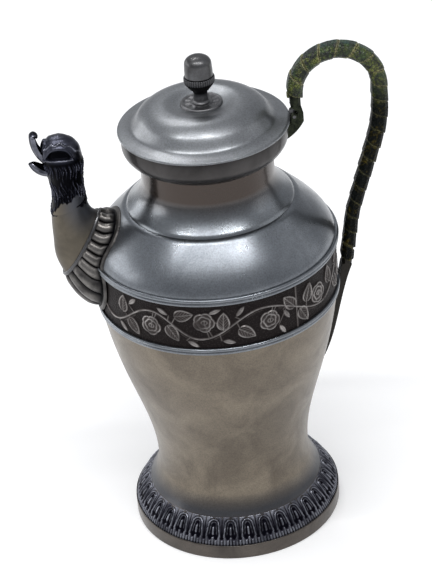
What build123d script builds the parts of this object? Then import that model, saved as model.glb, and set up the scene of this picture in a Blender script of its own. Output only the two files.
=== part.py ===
"""Pewter coffee jug: hinged lid, bird-head spout and a loop handle bound with a flat strip."""

from build123d import *
import os
from math import cos, pi, radians, sin, tan

# Driving dimensions, in millimetres.
# The origin is the bottom centre of the foot. The spout points to -X and the handle to +X.

# Walls and clearances
body_wall = 1.8
sloped_wall = 2.4
thin_wall = 1.5
lid_side_wall = 1.4
cast_wall = 2.2
lid_seat_gap = 0.25
bezel_clearance = 0.6
flange_clearance = 0.4
knuckle_clearance = 0.2
pin_clearance = 0.06

# Foot
foot_radius = 64.4
foot_rim_height = 9.4
foot_top_height = 23.7
foot_top_radius = 53.4
foot_rim_wall = 3.0
foot_rim_chamfer = 0.7
border_thickness = 1.2
border_bulge = 1.4
base_plate_thickness = 2.0
base_plate_ledge = 1.2

# Steps that stand for each stretch of curve in the spun walls, outside and inside
belly_steps = 3
shoulder_steps = 5
neck_steps = 4
collar_steps = 4
inside_steps = 2

# Belly, as radius and outward slope at four heights
waist_height = 44.0
waist_radius = 47.0
belly_height = 102.0
belly_radius = 59.4
belly_slope = 0.31
belly_top_height = 157.0
belly_top_slope = 0.12
foot_slope = -0.7

# Rose band between its two mouldings
band_radius = 72.2
band_height = 33.7
seam_lap_angle = 3.0
seam_lap_height = 0.5
seam_angle = -54.0
bead_height = 2.2
bead_depth = 0.9
bead_valley_depth = 0.2
upper_moulding_height = 4.4
upper_moulding_rise = 2.0
upper_moulding_depth = 1.7

# Shoulder, neck and mouth collar
shoulder_height = 28.3
shoulder_top_radius = 50.6
shoulder_slope = -1.05
neck_base_radius = 50.2
neck_base_slope = -1.2
neck_flare_height = 17.0
neck_radius = 39.0
neck_tube_height = 10.0
collar_bowl_height = 13.0
collar_radius = 48.4
collar_slope = 1.35
collar_height = 20.2

# Lid
flange_radius = 50.0
flange_thickness = 1.6
flange_width = 8.0
dome_foot_radius = 38.7
dome_foot_height = 8.0
flange_rise = 1.8
dome_foot_swell = 0.9
dome_foot_swell_height = 2.4
crown_blend_width = 3.5
crown_blend_drop = 1.25
crown_shoulder_radius = 33.0
crown_shoulder_drop = 3.2
crown_radius = 24.0
crown_height = 15.8
dish_radius = 13.2
dish_depth = 1.8
bezel_wall = 1.2
bezel_depth = 6.8

# Finial
rosette_thickness = 1.2
rosette_rim = 0.8
stem_foot_radius = 6.2
stem_radius = 3.9
stem_waist = 0.4
stem_height = 7.0
cup_radius = 9.0
cup_height = 7.2
cup_rim_height = 3.0
acorn_radius = 8.5
acorn_height = 16.0
acorn_taper = 0.95
acorn_crown_steps = 4
spigot_radius = 2.6
spigot_height = 5.0
stud_radius = 2.0
fixing_nut_width = 8.0
fixing_nut_thickness = 3.2

# Hinge
pin_radius = 1.0
knuckle_radius = 1.9
lid_knuckle_width = 3.9
ear_width = 2.8
web_overlap = 0.1

# Handle. Its heights are kept from the band's top or bottom edge.
core_depth = 6.0
core_width = 7.4
core_chamfer = 1.6
leg_offset = 3.8
leg_foot_height = 4.0
loop_radius = 24.6
loop_height = 12.9
right_leg_drop = 22.0
knee_radius = 80.0
bend_rise = 6.3
bend_standoff = 11.2
bend_radius = 60.0
binding_end_rise = 6.0
binding_end_standoff = 5.8
lug_thickness = 3.8
lug_height = 14.5
lug_swell = 1.0
lug_belly = 4.2
tail_join_drop = 9.0
tail_solder_drop = 45.0
tail_tip_drop = 68.0
tail_tip_width = 2.0
tail_depth = 4.4
tail_standoff = 1.2
tail_let_in = 0.2
tail_tip_let_in = 1.5
groove_width = 1.4
groove_depth = 0.7

# Binding strip, wound in shingled turns
binding_turns = 20
strip_thickness = 1.3
strip_lift = 0.6
strip_gap = 0.55
strip_clearance = 0.05
corners_per_turn = 8

# Spout. Its heights are kept from the band's top edge, and the window's from the bottom edge.
socket_wall = 2.0
oval_sides = 24
lobe_count = 16
lobe_sides = 3
lobe_height = 1.5
rim_lobe_height = 0.9
mouth_rise = 62.1
mouth_width = 6.4
mouth_depth = 6.0
bill_root_rise = 65.7
bill_height = 19.4
bill_reach = 6.2
bill_root_reach = 2.2
bill_curl_radius = 2.9
bill_thickness = 2.0
upper_bill_width = 10.8
upper_bill_tip_width = 6.4
lower_bill_width = 10.0
spoon_rise = 64.9
spoon_keel_rise = 55.5
spoon_reach = 8.4
spoon_sag = 1.9
spoon_wall = 1.4
socket_rim_thickness = 2.4
socket_rim_height = 1.2
window_radius = 11.0
window_rise = 17.0
strainer_margin = 3.0
strainer_thickness = 1.2
strainer_hole_radius = 2.0
strainer_hole_count = 6
strainer_pitch = 6.5

os.makedirs("parts", exist_ok=True)


def radius_between(height, low, high):
    """Radius at a height on the smooth curve between two (height, radius, slope) stations."""
    span = high[0] - low[0]
    t = (height - low[0]) / span
    start = (2 * t**3 - 3 * t**2 + 1) * low[1] + (t**3 - 2 * t**2 + t) * span * low[2]
    end = (3 * t**2 - 2 * t**3) * high[1] + (t**3 - t**2) * span * high[2]
    return start + end


def curve_points(low, high, steps):
    """Evenly spaced (radius, height) points between two stations, both ends included."""
    heights = [low[0] + (high[0] - low[0]) * step / steps for step in range(steps + 1)]
    return [(radius_between(height, low, high), height) for height in heights]


def wall_inside(stations, thickness):
    """Inside of a spun wall: the curve through its stations, brought in by the wall thickness."""
    points = []
    for low, high in zip(stations, stations[1:]):
        points += curve_points(low, high, inside_steps)[1 if points else 0:]
    return [(radius - thickness, height) for radius, height in points]


def upright_plane(angle):
    """A plane through the axis, turned about it, whose local axes are radius and height."""
    across = (cos(radians(angle)), sin(radians(angle)), 0)
    normal = (sin(radians(angle)), -cos(radians(angle)), 0)
    return Plane(origin=(0, 0, 0), x_dir=across, z_dir=normal)


def wall_section(outer, inner):
    """Section of a spun wall between an outer and an inner profile, both from the bottom up."""
    with BuildSketch(Plane.XZ) as section:
        with BuildLine():
            Polyline(*outer, *inner[::-1], close=True)
        make_face()
    return section.sketch


# Heights and stations that several pieces share
belly_top_radius = band_radius - 0.6
foot_station = (foot_top_height, foot_top_radius, foot_slope)
waist_station = (waist_height, waist_radius, 0.0)
belly_station = (belly_height, belly_radius, belly_slope)
belly_top_station = (belly_top_height, belly_top_radius, belly_top_slope)
band_bottom = belly_top_height
band_top = band_bottom + band_height
shoulder_top = band_top + shoulder_height
neck_flare_top = shoulder_top + neck_flare_height
neck_top = neck_flare_top + neck_tube_height
collar_top = neck_top + collar_height
flange_bottom = collar_top + lid_seat_gap
flange_top = flange_bottom + flange_thickness
shoulder_low_station = (band_top, band_radius, 0.0)
shoulder_top_station = (shoulder_top, shoulder_top_radius, shoulder_slope)
neck_low_station = (shoulder_top, neck_base_radius, neck_base_slope)
neck_high_station = (neck_flare_top, neck_radius, 0.0)
collar_low_station = (neck_top, neck_radius, collar_slope)
collar_high_station = (neck_top + collar_bowl_height, collar_radius, 0.0)

belly_curve = curve_points(foot_station, waist_station, belly_steps)
belly_curve += curve_points(waist_station, belly_station, belly_steps)[1:]
belly_curve += curve_points(belly_station, belly_top_station, belly_steps)[1:]
shoulder_curve = curve_points(shoulder_low_station, shoulder_top_station, shoulder_steps)
neck_curve = curve_points(neck_low_station, neck_high_station, neck_steps)
collar_curve = curve_points(collar_low_station, collar_high_station, collar_steps)


def belly_radius_at(height):
    """Outer radius of the belly above its widest stretch of curve."""
    if height < belly_height:
        return radius_between(height, waist_station, belly_station)
    return radius_between(height, belly_station, belly_top_station)


# Foot: a rim that stands on the table and a hollow slope that carries the belly
slope_bottom = (foot_radius - border_thickness, foot_rim_height)
slope_top = (foot_top_radius - 0.2, foot_top_height)
with BuildPart() as foot_ring:
    with BuildSketch(Plane.XZ):
        with BuildLine():
            Polyline(
                (foot_radius - foot_rim_wall - base_plate_ledge, base_plate_thickness),
                (foot_radius - foot_rim_wall, base_plate_thickness),
                (foot_radius - foot_rim_wall, 0),
                (foot_radius, 0),
                (foot_radius, foot_rim_height),
                slope_bottom,
                slope_top,
                (slope_top[0] - body_wall, foot_top_height),
                (foot_radius - foot_rim_wall - base_plate_ledge, foot_rim_height - body_wall),
                close=True,
            )
        make_face()
    revolve(axis=Axis.Z)
    rim_edges = foot_ring.edges().filter_by(GeomType.CIRCLE).filter_by(
        lambda edge: abs(edge.radius - foot_radius) < 0.01
    )
    chamfer(rim_edges, foot_rim_chamfer)

# Base plate, let into the foot so that its underside is flush with the rim
with BuildPart() as base_plate:
    Cylinder(
        foot_radius - foot_rim_wall,
        base_plate_thickness,
        align=(Align.CENTER, Align.CENTER, Align.MIN),
    )

# Leaf-tip border, a cast ring on the slope of the foot
with BuildPart() as leaf_tip_border:
    with BuildSketch(Plane.XZ):
        with BuildLine():
            border_low = (foot_radius + 0.1, foot_rim_height)
            border_high = (slope_top[0] + border_thickness * 0.4, foot_top_height)
            border_middle = (
                (border_low[0] + border_high[0]) / 2 + border_bulge,
                (border_low[1] + border_high[1]) / 2,
            )
            Polyline(border_low, border_middle, border_high, slope_top, slope_bottom, close=True)
        make_face()
    revolve(axis=Axis.Z)

# Belly, spun from one sheet, open at both ends
belly_stations = [foot_station, waist_station, belly_station, belly_top_station]
with BuildPart() as belly:
    revolve(wall_section(belly_curve, wall_inside(belly_stations, body_wall)), axis=Axis.Z)

# Rose band: a cast strip bent round and lapped at one upright seam, with the window for the spout
window_height = band_bottom + window_rise
with BuildPart() as rose_band:
    with BuildSketch(Plane.XZ):
        with Locations((band_radius - body_wall / 2, (band_bottom + band_top) / 2)):
            Rectangle(body_wall, band_height)
    revolve(axis=Axis.Z)
    with BuildSketch(upright_plane(seam_angle)):
        with Locations((band_radius + seam_lap_height / 2, (band_bottom + band_top) / 2)):
            Rectangle(seam_lap_height, band_height - 2 * upper_moulding_height)
    revolve(axis=Axis.Z, revolution_arc=seam_lap_angle)
    with BuildSketch(Plane.YZ):
        with Locations((0, window_height)):
            Circle(window_radius)
    extrude(amount=-2 * band_radius, mode=Mode.SUBTRACT)

# Lower beads, one on the band's edge and one just under it on the belly
with BuildPart() as lower_bead:
    with BuildSketch(Plane.XZ):
        with BuildLine():
            bead_bottom = band_bottom - bead_height
            bead_low = (belly_radius_at(bead_bottom), bead_bottom)
            bead_valley = (band_radius + bead_valley_depth, band_bottom)
            bead_high = (band_radius, band_bottom + bead_height)
            Polyline(
                bead_low,
                (belly_top_radius + bead_depth, bead_bottom + bead_height * 0.3),
                (band_radius + bead_depth, bead_bottom + bead_height * 0.7),
                bead_valley,
                (band_radius + bead_depth, band_bottom + bead_height * 0.3),
                (band_radius + bead_depth, band_bottom + bead_height * 0.7),
                bead_high,
                (band_radius, band_bottom),
                (belly_top_radius, band_bottom),
                close=True,
            )
        make_face()
    revolve(axis=Axis.Z)
    add(belly.part, mode=Mode.SUBTRACT)

# Shoulder, spun as a dome with an open crown
shoulder_inside = wall_inside([shoulder_low_station, shoulder_top_station], sloped_wall)
with BuildPart() as shoulder:
    revolve(wall_section(shoulder_curve, shoulder_inside), axis=Axis.Z)

# Upper moulding, over the joint between the band and the shoulder
with BuildPart() as upper_moulding:
    with BuildSketch(Plane.XZ):
        with BuildLine():
            moulding_height = band_top + upper_moulding_rise
            moulding_top = (
                radius_between(moulding_height, shoulder_low_station, shoulder_top_station),
                moulding_height,
            )
            moulding_bottom = (band_radius, moulding_top[1] - upper_moulding_height)
            moulding_face = band_radius + upper_moulding_depth
            Polyline(
                moulding_bottom,
                (moulding_face, moulding_bottom[1] + upper_moulding_height * 0.3),
                (moulding_face, moulding_bottom[1] + upper_moulding_height * 0.7),
                moulding_top,
                (band_radius - body_wall, band_top),
                close=True,
            )
        make_face()
    revolve(axis=Axis.Z)
    add(shoulder.part, mode=Mode.SUBTRACT)
    add(rose_band.part, mode=Mode.SUBTRACT)

# Neck: a flared foot on the shoulder and a short straight tube
neck_inside = wall_inside([neck_low_station, neck_high_station], body_wall)
with BuildPart() as neck:
    neck_section = wall_section(
        neck_curve + [(neck_radius, neck_top)],
        neck_inside + [(neck_radius - body_wall, neck_top)],
    )
    revolve(neck_section, axis=Axis.Z)

# Mouth collar: a shallow bowl with an upright rim that the lid sits on
collar_inside = wall_inside([collar_low_station, collar_high_station], thin_wall)
with BuildPart() as mouth_collar:
    collar_section = wall_section(
        collar_curve + [(collar_radius, collar_top)],
        collar_inside + [(collar_radius - thin_wall, collar_top)],
    )
    revolve(collar_section, axis=Axis.Z)

# The space that the standing walls fill, used to fit the handle and spout against them
with BuildPart() as body_space:
    with BuildSketch(Plane.XZ):
        with BuildLine():
            Polyline(
                *belly_curve,
                (band_radius, band_bottom),
                *shoulder_curve,
                *neck_curve,
                *collar_curve,
                (collar_radius, collar_top),
                (0, collar_top),
                (0, foot_top_height),
                close=True,
            )
        make_face()
    revolve(axis=Axis.Z)
    with Locations((0, 0, band_bottom)):
        Cylinder(band_radius, 2 * bead_height)
    add(upper_moulding.part)
    add(lower_bead.part)

# Lid: a flat flange, a domed crown and a shallow dish for the finial
lid_heights = {
    "dome foot": flange_bottom + flange_thickness + dome_foot_height,
    "crown": flange_bottom + crown_height,
    "dish": flange_bottom + crown_height - dish_depth,
}
flange_inner_radius = flange_radius - flange_width
dome_foot_blend = (dome_foot_radius + dome_foot_swell, flange_top + flange_rise + dome_foot_swell_height)
crown_blend = (
    crown_shoulder_radius + crown_blend_width,
    lid_heights["crown"] - crown_shoulder_drop - crown_blend_drop,
)
lid_outer = [
    (flange_inner_radius, flange_top + flange_rise),
    (dome_foot_radius, lid_heights["dome foot"]),
    (crown_shoulder_radius, lid_heights["crown"] - crown_shoulder_drop),
    (crown_radius, lid_heights["crown"]),
    (dish_radius, lid_heights["dish"]),
]
lid_inner = [(radius - lid_side_wall, height - thin_wall) for radius, height in lid_outer[:-2]]
lid_inner += [(radius, height - thin_wall) for radius, height in lid_outer[-2:]]
with BuildPart() as lid_shell:
    with BuildSketch(Plane.XZ):
        with BuildLine():
            Line((flange_radius, flange_top), lid_outer[0])
            ThreePointArc(lid_outer[0], dome_foot_blend, lid_outer[1])
            ThreePointArc(lid_outer[1], crown_blend, lid_outer[2])
            Polyline(
                *lid_outer[2:],
                (stud_radius, lid_heights["dish"]),
                (stud_radius, lid_heights["dish"] - thin_wall),
                *lid_inner[::-1],
                (collar_radius - thin_wall - bezel_clearance - bezel_wall, flange_bottom),
                (flange_radius, flange_bottom),
                (flange_radius, flange_top),
            )
        make_face()
    revolve(axis=Axis.Z)

# Bezel, the ring under the lid that drops into the mouth
bezel_radius = collar_radius - thin_wall - bezel_clearance
with BuildPart() as lid_bezel:
    with BuildSketch(Plane.XY.offset(collar_top - bezel_depth)):
        Circle(bezel_radius)
        Circle(bezel_radius - bezel_wall, mode=Mode.SUBTRACT)
    extrude(until=Until.NEXT, target=lid_shell.part)

# Rosette, a stamped disc in the dish of the lid
dish_top = lid_heights["dish"]
with BuildPart() as finial_rosette:
    with BuildSketch(Plane.XZ):
        with BuildLine():
            rim_top = (dish_radius - 2 * rosette_rim, dish_top + rosette_thickness + rosette_rim / 2)
            Polyline(
                (stud_radius, dish_top),
                (stud_radius, dish_top + rosette_thickness),
                (dish_radius - 3 * rosette_rim, dish_top + rosette_thickness),
                rim_top,
                (dish_radius - rosette_rim, dish_top),
                close=True,
            )
        make_face()
    revolve(axis=Axis.Z)

# Finial stem: a flared foot, a thin stem and a cup with a ribbed rim, on a stud through the lid
stem_foot = dish_top + rosette_thickness
cup_bottom = stem_foot + stem_height
rim_bottom = cup_bottom + cup_height - cup_rim_height
cup_top = cup_bottom + cup_height
stud_bottom = dish_top - thin_wall - fixing_nut_thickness - stud_radius
with BuildPart() as finial_stem:
    with BuildSketch(Plane.XZ):
        with BuildLine():
            Polyline(
                (stem_foot_radius, stem_foot),
                (stem_radius, stem_foot + stem_height * 0.4),
                (stem_radius - stem_waist, stem_foot + stem_height * 0.75),
                (stem_radius, cup_bottom),
                ((stem_radius + cup_radius) / 2 + stem_waist, (cup_bottom + rim_bottom) / 2),
                (cup_radius, rim_bottom),
                (cup_radius, cup_top),
                (spigot_radius, cup_top),
                (spigot_radius, cup_top + spigot_height),
                (0, cup_top + spigot_height),
                (0, stud_bottom),
                (stud_radius, stud_bottom),
                (stud_radius, stem_foot),
                close=True,
            )
        make_face()
    revolve(axis=Axis.Z)

# Acorn, the hollow cap on the spigot of the stem
with BuildPart() as finial_acorn:
    with BuildSketch(Plane.XZ):
        with BuildLine():
            acorn_side_top = cup_top + acorn_height * 0.6
            acorn_top = cup_top + acorn_height
            crown_height_left = acorn_top - acorn_side_top
            crown_angles = [pi / 2 * step / acorn_crown_steps for step in range(acorn_crown_steps)]
            Polyline(
                (acorn_radius, cup_top),
                *[
                    (acorn_taper * acorn_radius * cos(t), acorn_side_top + crown_height_left * sin(t))
                    for t in crown_angles
                ],
                (0, acorn_top),
                (0, cup_top + spigot_height),
                (spigot_radius, cup_top + spigot_height),
                (spigot_radius, cup_top),
                close=True,
            )
        make_face()
    revolve(axis=Axis.Z)

# Fixing nut on the stud inside the lid
with BuildPart() as fixing_nut:
    with BuildSketch(Plane.XY.offset(dish_top - thin_wall - fixing_nut_thickness)):
        RegularPolygon(fixing_nut_width / 2, 6, major_radius=False)
        Circle(stud_radius, mode=Mode.SUBTRACT)
    extrude(amount=fixing_nut_thickness)

# Hinge line, level with the underside of the flange and just behind its edge
hinge_x = flange_radius + flange_clearance + knuckle_radius
hinge_z = flange_bottom
ear_inner = lid_knuckle_width / 2 + knuckle_clearance
ear_outer = ear_inner + ear_width

# Lid knuckle, soldered to the edge of the flange
with BuildPart() as lid_knuckle:
    with BuildSketch(Plane.XZ):
        with Locations((hinge_x, hinge_z)):
            Circle(knuckle_radius)
        with BuildLine():
            Polyline(
                (flange_radius - web_overlap, hinge_z),
                (hinge_x, hinge_z),
                (hinge_x, flange_top),
                (flange_radius - web_overlap, flange_top),
                close=True,
            )
        make_face()
        with Locations((hinge_x, hinge_z)):
            Circle(pin_radius + pin_clearance, mode=Mode.SUBTRACT)
    extrude(amount=lid_knuckle_width / 2, both=True)
    with BuildSketch(Plane.XY.offset(hinge_z)):
        Circle(flange_radius)
    extrude(amount=flange_thickness, mode=Mode.SUBTRACT)

# Hinge pin, held in the two ears of the handle
with BuildPart() as hinge_pin:
    with BuildSketch(Plane.XZ):
        with Locations((hinge_x, hinge_z)):
            Circle(pin_radius)
    extrude(amount=ear_outer, both=True)

# Handle line, in the upright plane through the axis: leg, half-circle loop, knee and long back leg
leg_x = flange_radius + leg_offset
loop_z = flange_bottom + loop_height
back_leg_x = leg_x + 2 * loop_radius
leg_bottom = flange_top + leg_foot_height
bend_height = band_top + bend_rise
binding_end = (band_radius + binding_end_standoff, band_bottom + binding_end_rise)
tail_join_height = band_bottom - tail_join_drop
tail_solder_height = band_bottom - tail_solder_drop
tail_tip_height = band_bottom - tail_tip_drop
back_leg_points = [
    (back_leg_x, loop_z),
    (back_leg_x, loop_z - right_leg_drop),
    (band_radius + bend_standoff, bend_height),
    binding_end,
]
with BuildLine(Plane.XZ) as handle_line:
    Line((leg_x, leg_bottom), (leg_x, loop_z))
    ThreePointArc((leg_x, loop_z), (leg_x + loop_radius, loop_z + loop_radius), (back_leg_x, loop_z))
    FilletPolyline(*back_leg_points, radius=[knee_radius, bend_radius])

handle_path = handle_line.wire()
path_end = handle_path @ 1
end_tangent = handle_path % 1


def tail_points(standoffs):
    """Points down the tail, each a stated distance out from the belly at its height."""
    return [(belly_radius_at(height) + standoff, height) for height, standoff in standoffs]


# Handle: one casting with the core of the loop, the lug on the collar, the hinge ears and the tail
half_core = core_depth / 2
end_out_x = -end_tangent.Z * half_core
end_out_z = end_tangent.X * half_core
tail_outer = [(path_end.X + end_out_x, path_end.Z + end_out_z)] + tail_points([
    (tail_join_height, tail_standoff + tail_depth),
    (tail_solder_height, tail_depth - tail_let_in),
    (tail_tip_height, tail_let_in),
])
tail_inner = [(path_end.X - end_out_x, path_end.Z - end_out_z)] + tail_points([
    (tail_join_height, tail_standoff),
    (tail_solder_height, -tail_let_in),
    (tail_tip_height, -tail_tip_let_in),
])
with BuildPart() as handle:
    with BuildSketch(Plane(handle_path @ 0, x_dir=(1, 0, 0), z_dir=handle_path % 0)) as core_section:
        Rectangle(core_depth, core_width)
        chamfer(core_section.vertices(), core_chamfer)
    sweep(path=handle_path)
    with BuildSketch(Plane.XZ):
        with BuildLine():
            Spline(tail_outer)
            Line(tail_outer[-1], tail_inner[-1])
            Spline(tail_inner[::-1])
            Line(tail_inner[0], tail_outer[0])
        make_face()
        with BuildLine():
            Polyline(
                (leg_x - half_core, leg_bottom),
                (hinge_x + knuckle_radius + knuckle_clearance, leg_bottom - half_core),
                (hinge_x + knuckle_radius + knuckle_clearance, hinge_z - lug_thickness),
                (collar_radius - thin_wall, hinge_z - lug_thickness),
                (collar_radius - thin_wall, hinge_z - lug_height),
            )
            lug_back = leg_x + half_core + lug_swell
            lug_corner = (lug_back, hinge_z - lug_thickness)
            ThreePointArc(
                (collar_radius - thin_wall, hinge_z - lug_height),
                (collar_radius + lug_belly, hinge_z - lug_height * 0.72),
                lug_corner,
            )
            Polyline(lug_corner, (lug_back, flange_top), (leg_x + half_core, leg_bottom))
            Line((leg_x + half_core, leg_bottom), (leg_x - half_core, leg_bottom))
        make_face()
    extrude(amount=core_width / 2, both=True)
    add(body_space.part, mode=Mode.SUBTRACT)
    for side in (-1, 1):
        with BuildSketch(Plane.YZ):
            with BuildLine():
                Polyline(
                    (side * core_width / 2, tail_join_height),
                    (side * tail_tip_width / 2, tail_tip_height),
                    (side * tail_tip_width / 2, tail_tip_height - core_width),
                    (side * core_width, tail_tip_height - core_width),
                    (side * core_width, tail_join_height),
                    close=True,
                )
            make_face()
        extrude(amount=back_leg_x, mode=Mode.SUBTRACT)
    with BuildSketch(Plane.XZ):
        with BuildLine():
            groove_outer = [(x + groove_depth, z) for x, z in tail_outer]
            groove_floor = [(x - groove_depth, z) for x, z in tail_outer]
            Spline(groove_outer)
            Line(groove_outer[-1], groove_floor[-1])
            Spline(groove_floor[::-1])
            Line(groove_floor[0], groove_outer[0])
        make_face()
    extrude(amount=groove_width / 2, both=True, mode=Mode.SUBTRACT)
    for side in (-1, 1):
        with BuildSketch(Plane.XZ.offset(side * ear_inner)):
            with Locations((hinge_x, hinge_z)):
                Circle(knuckle_radius)
                Rectangle(
                    2 * knuckle_radius,
                    lug_thickness + knuckle_radius,
                    align=(Align.CENTER, Align.MAX),
                )
                Circle(pin_radius, mode=Mode.SUBTRACT)
        extrude(amount=side * ear_width)

# Binding strip: one unbroken flat strip wound from the lug to the tail, each turn lapping up the next
path_length = handle_path.length
binding_pitch = path_length / (binding_turns + 1)
bevel_run = tan(radians(22.5))
half_width = core_width / 2
corner_ring = [
    (half_core, half_width - core_chamfer, 1, bevel_run),
    (half_core - core_chamfer, half_width, bevel_run, 1),
    (core_chamfer - half_core, half_width, -bevel_run, 1),
    (-half_core, half_width - core_chamfer, -1, bevel_run),
    (-half_core, core_chamfer - half_width, -1, -bevel_run),
    (core_chamfer - half_core, -half_width, -bevel_run, -1),
    (half_core - core_chamfer, -half_width, bevel_run, -1),
    (half_core, core_chamfer - half_width, 1, -bevel_run),
]


def tangent_at(length):
    """Direction of the handle line a stated distance along it."""
    return handle_path.tangent_at(min(max(length / path_length, 0), 1))


def bends_near(length):
    """Mean curvatures over the pitch before and after a point, positive round the loop."""
    here = tangent_at(length)
    before = tangent_at(length - binding_pitch).get_signed_angle(here, Vector(0, 1, 0))
    after = here.get_signed_angle(tangent_at(length + binding_pitch), Vector(0, 1, 0))
    return radians(before) / binding_pitch, radians(after) / binding_pitch


strip_corners = []
strip_sections = []
for step in range(binding_turns * corners_per_turn + 1):
    out_q, out_y, run_q, run_y = corner_ring[step % corners_per_turn]
    length = binding_pitch * (0.5 + step / corners_per_turn)
    point = handle_path.position_at(length / path_length)
    tangent = tangent_at(length)
    away = Vector(-tangent.Z, 0, tangent.X)
    build_up = strip_thickness + strip_lift
    stretches = [bend * q for bend in bends_near(length) for q in (out_q, out_q + run_q * build_up)]
    width = binding_pitch * (1 + min(stretches)) - strip_gap
    inward_bend = max(-bend * out_q / half_core for bend in bends_near(length) + (0,))
    base = strip_clearance + width**2 / 8 * inward_bend / (1 - inward_bend * half_core)
    origin = point + away * out_q + Vector(0, out_y, 0)
    outward = away * run_q + Vector(0, run_y, 0)
    corners = [
        origin + tangent * (-width / 2) + outward * base,
        origin + tangent * (width / 2) + outward * (base + strip_lift),
        origin + tangent * (width / 2) + outward * (base + build_up),
        origin + tangent * (-width / 2) + outward * (base + strip_thickness),
    ]
    strip_corners.append(corners)
    strip_sections.append(Face(Wire.make_polygon(corners, close=True)))


def least_strip_gap():
    """Smallest distance between the facing edges of neighbouring turns, measured on points."""
    gaps = []
    for first, second in zip(strip_corners, strip_corners[corners_per_turn:]):
        for share in (0, 0.25, 0.5, 0.75, 1):
            trailing = first[1] + (first[2] - first[1]) * share
            for other in (0, 0.25, 0.5, 0.75, 1):
                leading = second[0] + (second[3] - second[0]) * other
                gaps.append((trailing - leading).length)
    return min(gaps)


print(f"binding: {binding_turns} turns, least gap between turns {least_strip_gap():.2f} mm")
with BuildPart() as handle_binding:
    add(Solid.make_loft([section.outer_wire() for section in strip_sections], ruled=True))


# Spout: oval sections across a bent centre line, as reach beyond the band, rise above the band's
# top edge, depth, width and the tilt of the centre line above level
socket_end = (-9.0, -4.2, 60.8, 52.0, 13.8)
socket_middle = (-0.1, 0.7, 54.2, 40.0, 21.9)
spout_rim_station = (5.9, 9.1, 44.6, 24.0, 32.7)
breast_stations = [
    (9.5, 16.5, 37.2, 23.0, 41.2),
    (10.6, 25.8, 29.4, 21.6, 49.8),
    (10.6, 35.8, 22.8, 20.0, 66.7),
]
beak_station = (10.8, 68.3, 23.0, 20.4, 90.0)
head_stations = [
    breast_stations[-1],
    (9.8, 46.3, 18.4, 18.0, 84.0),
    (10.0, 53.8, 20.2, 18.8, 90.0),
    (10.5, 60.3, 22.4, 20.0, 90.0),
    beak_station,
    (11.3, 74.8, 20.6, 17.2, 90.0),
]
head_crown_stations = [
    (12.0, 78.8, 14.0, 11.0, 90.0),
    (12.2, 80.7, 5.0, 4.0, 90.0),
]


def station_plane(station, offset=0.0):
    """Plane across the spout: local x runs up the section, local y across it, z out along the spout."""
    reach, rise, depth, width, tilt = station
    normal = (-cos(radians(tilt)), 0, sin(radians(tilt)))
    up_section = (sin(radians(tilt)), 0, cos(radians(tilt)))
    plane = Plane(origin=(-band_radius - reach, 0, band_top + rise), x_dir=up_section, z_dir=normal)
    return plane.offset(offset)


def oval(station, offset=0.0, inset=0.0):
    """Oval section of the spout, drawn smaller by an inset when it bounds the bore."""
    half_depth = station[2] / 2 - inset
    half_span = station[3] / 2 - inset
    angles = [2 * pi * (index + 0.5) / oval_sides for index in range(oval_sides)]
    with BuildSketch(station_plane(station, offset)) as section:
        with BuildLine():
            Polyline(*[(half_depth * cos(t), half_span * sin(t)) for t in angles], close=True)
        make_face()
    return section.sketch


def lobed(station, lobe, offset=0.0):
    """Oval section with rounded lobes all round it."""
    half_depth = station[2] / 2
    half_span = station[3] / 2
    points = []
    for index in range(lobe_count * lobe_sides):
        t = 2 * pi * index / (lobe_count * lobe_sides)
        swell = lobe * sin(pi * (index % lobe_sides) / lobe_sides) ** 0.5
        points.append(((half_depth + swell) * cos(t), (half_span + swell) * sin(t)))
    with BuildSketch(station_plane(station, offset)) as section:
        with BuildLine():
            Polyline(*points, close=True)
        make_face()
    return section.sketch


# Gadrooned socket that fans out onto the body
half_rim = socket_rim_thickness / 2
with BuildPart() as spout_socket:
    loft([
        lobed(socket_end, lobe_height),
        lobed(socket_middle, lobe_height),
        lobed(spout_rim_station, rim_lobe_height, -half_rim),
    ], ruled=True)
    loft([
        oval(socket_end, 0, socket_wall),
        oval(socket_middle, 0, socket_wall),
        oval(spout_rim_station, -half_rim, socket_wall),
    ], ruled=True, mode=Mode.SUBTRACT)
    add(body_space.part, mode=Mode.SUBTRACT)

# Bead round the joint between the socket and the breast
rim_depth = spout_rim_station[2] / 2
rim_span = spout_rim_station[3] / 2
with BuildPart() as spout_rim:
    with BuildSketch(station_plane(spout_rim_station, -half_rim)):
        Ellipse(rim_depth + socket_rim_height, rim_span + socket_rim_height)
        Ellipse(rim_depth - socket_wall, rim_span - socket_wall, mode=Mode.SUBTRACT)
    extrude(amount=socket_rim_thickness)

# Breast: the smooth hollow curve of the spout
with BuildPart() as spout_breast:
    loft([oval(spout_rim_station, half_rim)] + [oval(station) for station in breast_stations], ruled=True)
    loft(
        [oval(spout_rim_station, half_rim, cast_wall)]
        + [oval(station, 0, cast_wall) for station in breast_stations],
        ruled=True,
        mode=Mode.SUBTRACT,
    )

# The bird's head and neck as a solid, used to fit the bills
with BuildPart() as head_space:
    loft([oval(station) for station in head_stations + head_crown_stations], ruled=True)

# Mouth: where the bore comes out between the bills
face_x = -band_radius - beak_station[0] - beak_station[2] / 2
with BuildPart() as mouth_space:
    with BuildSketch(Plane.YZ.offset(face_x - cast_wall)):
        with Locations((0, band_top + mouth_rise)):
            Ellipse(mouth_width / 2, mouth_depth / 2)
    extrude(amount=3 * cast_wall)

# Bird's head: hollow up to the crown and open at the mouth
with BuildPart() as bird_head:
    add(head_space.part)
    loft([oval(station, 0, cast_wall) for station in head_stations], ruled=True, mode=Mode.SUBTRACT)
    add(mouth_space.part, mode=Mode.SUBTRACT)

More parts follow.
